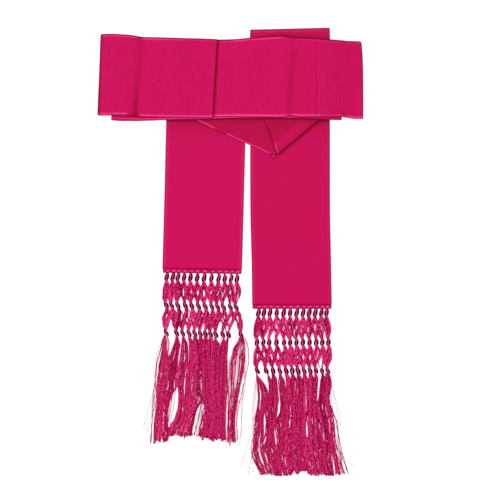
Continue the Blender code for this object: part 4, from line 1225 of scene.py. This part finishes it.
def stray_hairs(strays):
    """Single threads that left their lock, each a smooth curve through four places."""
    rows = np.array(strays).reshape(len(strays), 4, 2)
    way = np.linspace(0, 1, 30)
    flat = through([0, 0.333, 0.667, 1], rows.transpose(0, 2, 1), way).transpose(0, 2, 1)
    z = np.broadcast_to(0.5 + 0.8 * np.exp(-way / 0.1), flat.shape[:2])
    points, faces = tubes(np.concatenate([flat, z[..., None]], axis=2), *HAIR, 4)
    return points, faces, np.full(len(points), HAIR_SHADED_TONE)


# The knots' thread reaches a deeper maroon, for the painted shade on the knots' sides
fuchsia_thread = silky_thread("fuchsia_thread", 2.8, (0.17, 0.0, 0.026, 1.0))
knot_thread = silky_thread("knot_thread", 1.4, (0.07, 0.0, 0.013, 1.0))
for name, columns, rows, hem, slits, partings, last_reach, fray, strays, seed in (
        ("left", LEFT_COLUMNS, LEFT_ROWS, LEFT_HEM, LEFT_SLITS, LEFT_PARTINGS, LEFT_LAST_REACH, LEFT_FRAY,
         LEFT_STRAYS, 11),
        ("right", RIGHT_COLUMNS, RIGHT_ROWS, RIGHT_HEM, RIGHT_SLITS, RIGHT_PARTINGS, RIGHT_LAST_REACH,
         RIGHT_FRAY, RIGHT_STRAYS, 23)):
    shaker = np.random.default_rng(seed)
    columns, rows = np.array(columns), np.array(rows)
    along_row = (columns[:, 0] - columns[0, 0]) / (columns[-1, 0] - columns[0, 0])
    rows_y = rows[:, :1] - hem[4] * along_row
    turns = knots(columns, rows, rows_y, shaker)
    locks = skirt_threads(columns, rows, rows_y, partings, last_reach, fray, shaker)
    made = {
        "hem": (joined([hem_edge(hem, columns), hem_stitches(hem, columns, shaker)]), knot_thread),
        "knots": (joined([loop_threads(hem, columns, rows_y, shaker), *turns]), knot_thread),
        "net": (net_threads(columns, rows, rows_y, slits, shaker), fuchsia_thread),
        "skirt": (joined([locks, stray_hairs(strays)]), fuchsia_thread),
    }
    for part, ((points, faces, tone), thread) in made.items():
        piece = put_mesh(f"{name}_fringe_{part}", points, faces, thread, [("tone", tone)])
        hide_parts(f"{name}_fringe")


# The photograph's setting
# A white surface, seen from straight above, in soft light that comes mostly from the upper left.
PIXEL = 1.6456 * MM                # what a pixel of the photograph measures
PICTURE_MIDDLE = (250.0, 250.0)    # pixels, right and down
DRAWING_ZERO = (230.5, 252.2)      # the pixel at the drawing's zero
CAMERA_HEIGHT = 2.2886
SURFACE_LEVEL = -0.0003
KEY_TILT = np.radians(-22.0)       # to the left and to the top of the picture
bpy.ops.mesh.primitive_plane_add(size=8.0, location=(0.0, 0.0, SURFACE_LEVEL))
surface = bpy.context.object
surface.name = "white_surface"
white, tree, shader = new_material("white_surface")
set_sockets(shader, {"Base Color": (0.20, 0.20, 0.20, 1.0), "Roughness": 0.9, "Specular IOR Level": 0.0,
                     "Emission Color": (1.0, 1.0, 1.0, 1.0), "Emission Strength": 0.88})
surface.data.materials.append(white)

scene = bpy.context.scene
camera = bpy.data.objects.new("camera_above", bpy.data.cameras.new("camera_above"))
camera.data.lens = 100.0
camera.data.sensor_width = 36.0
camera.location = ((PICTURE_MIDDLE[0] - DRAWING_ZERO[0]) * PIXEL + DRAWING_MIDDLE[0] * MM,
                   (DRAWING_ZERO[1] - PICTURE_MIDDLE[1]) * PIXEL + DRAWING_MIDDLE[1] * MM, CAMERA_HEIGHT)
scene.collection.objects.link(camera)
scene.camera = camera

key = bpy.data.objects.new("key_light", bpy.data.lights.new("key_light", "SUN"))
key.data.energy = 1.9
key.data.angle = np.radians(55.0)
key.rotation_euler = (KEY_TILT, KEY_TILT, 0.0)
scene.collection.objects.link(key)
world = bpy.data.worlds.new("studio")
world.use_nodes = True
set_sockets(world.node_tree.nodes["Background"], {"Color": (1.0, 1.0, 1.0, 1.0), "Strength": 0.6})
scene.world = world
scene.view_settings.view_transform = "Standard"
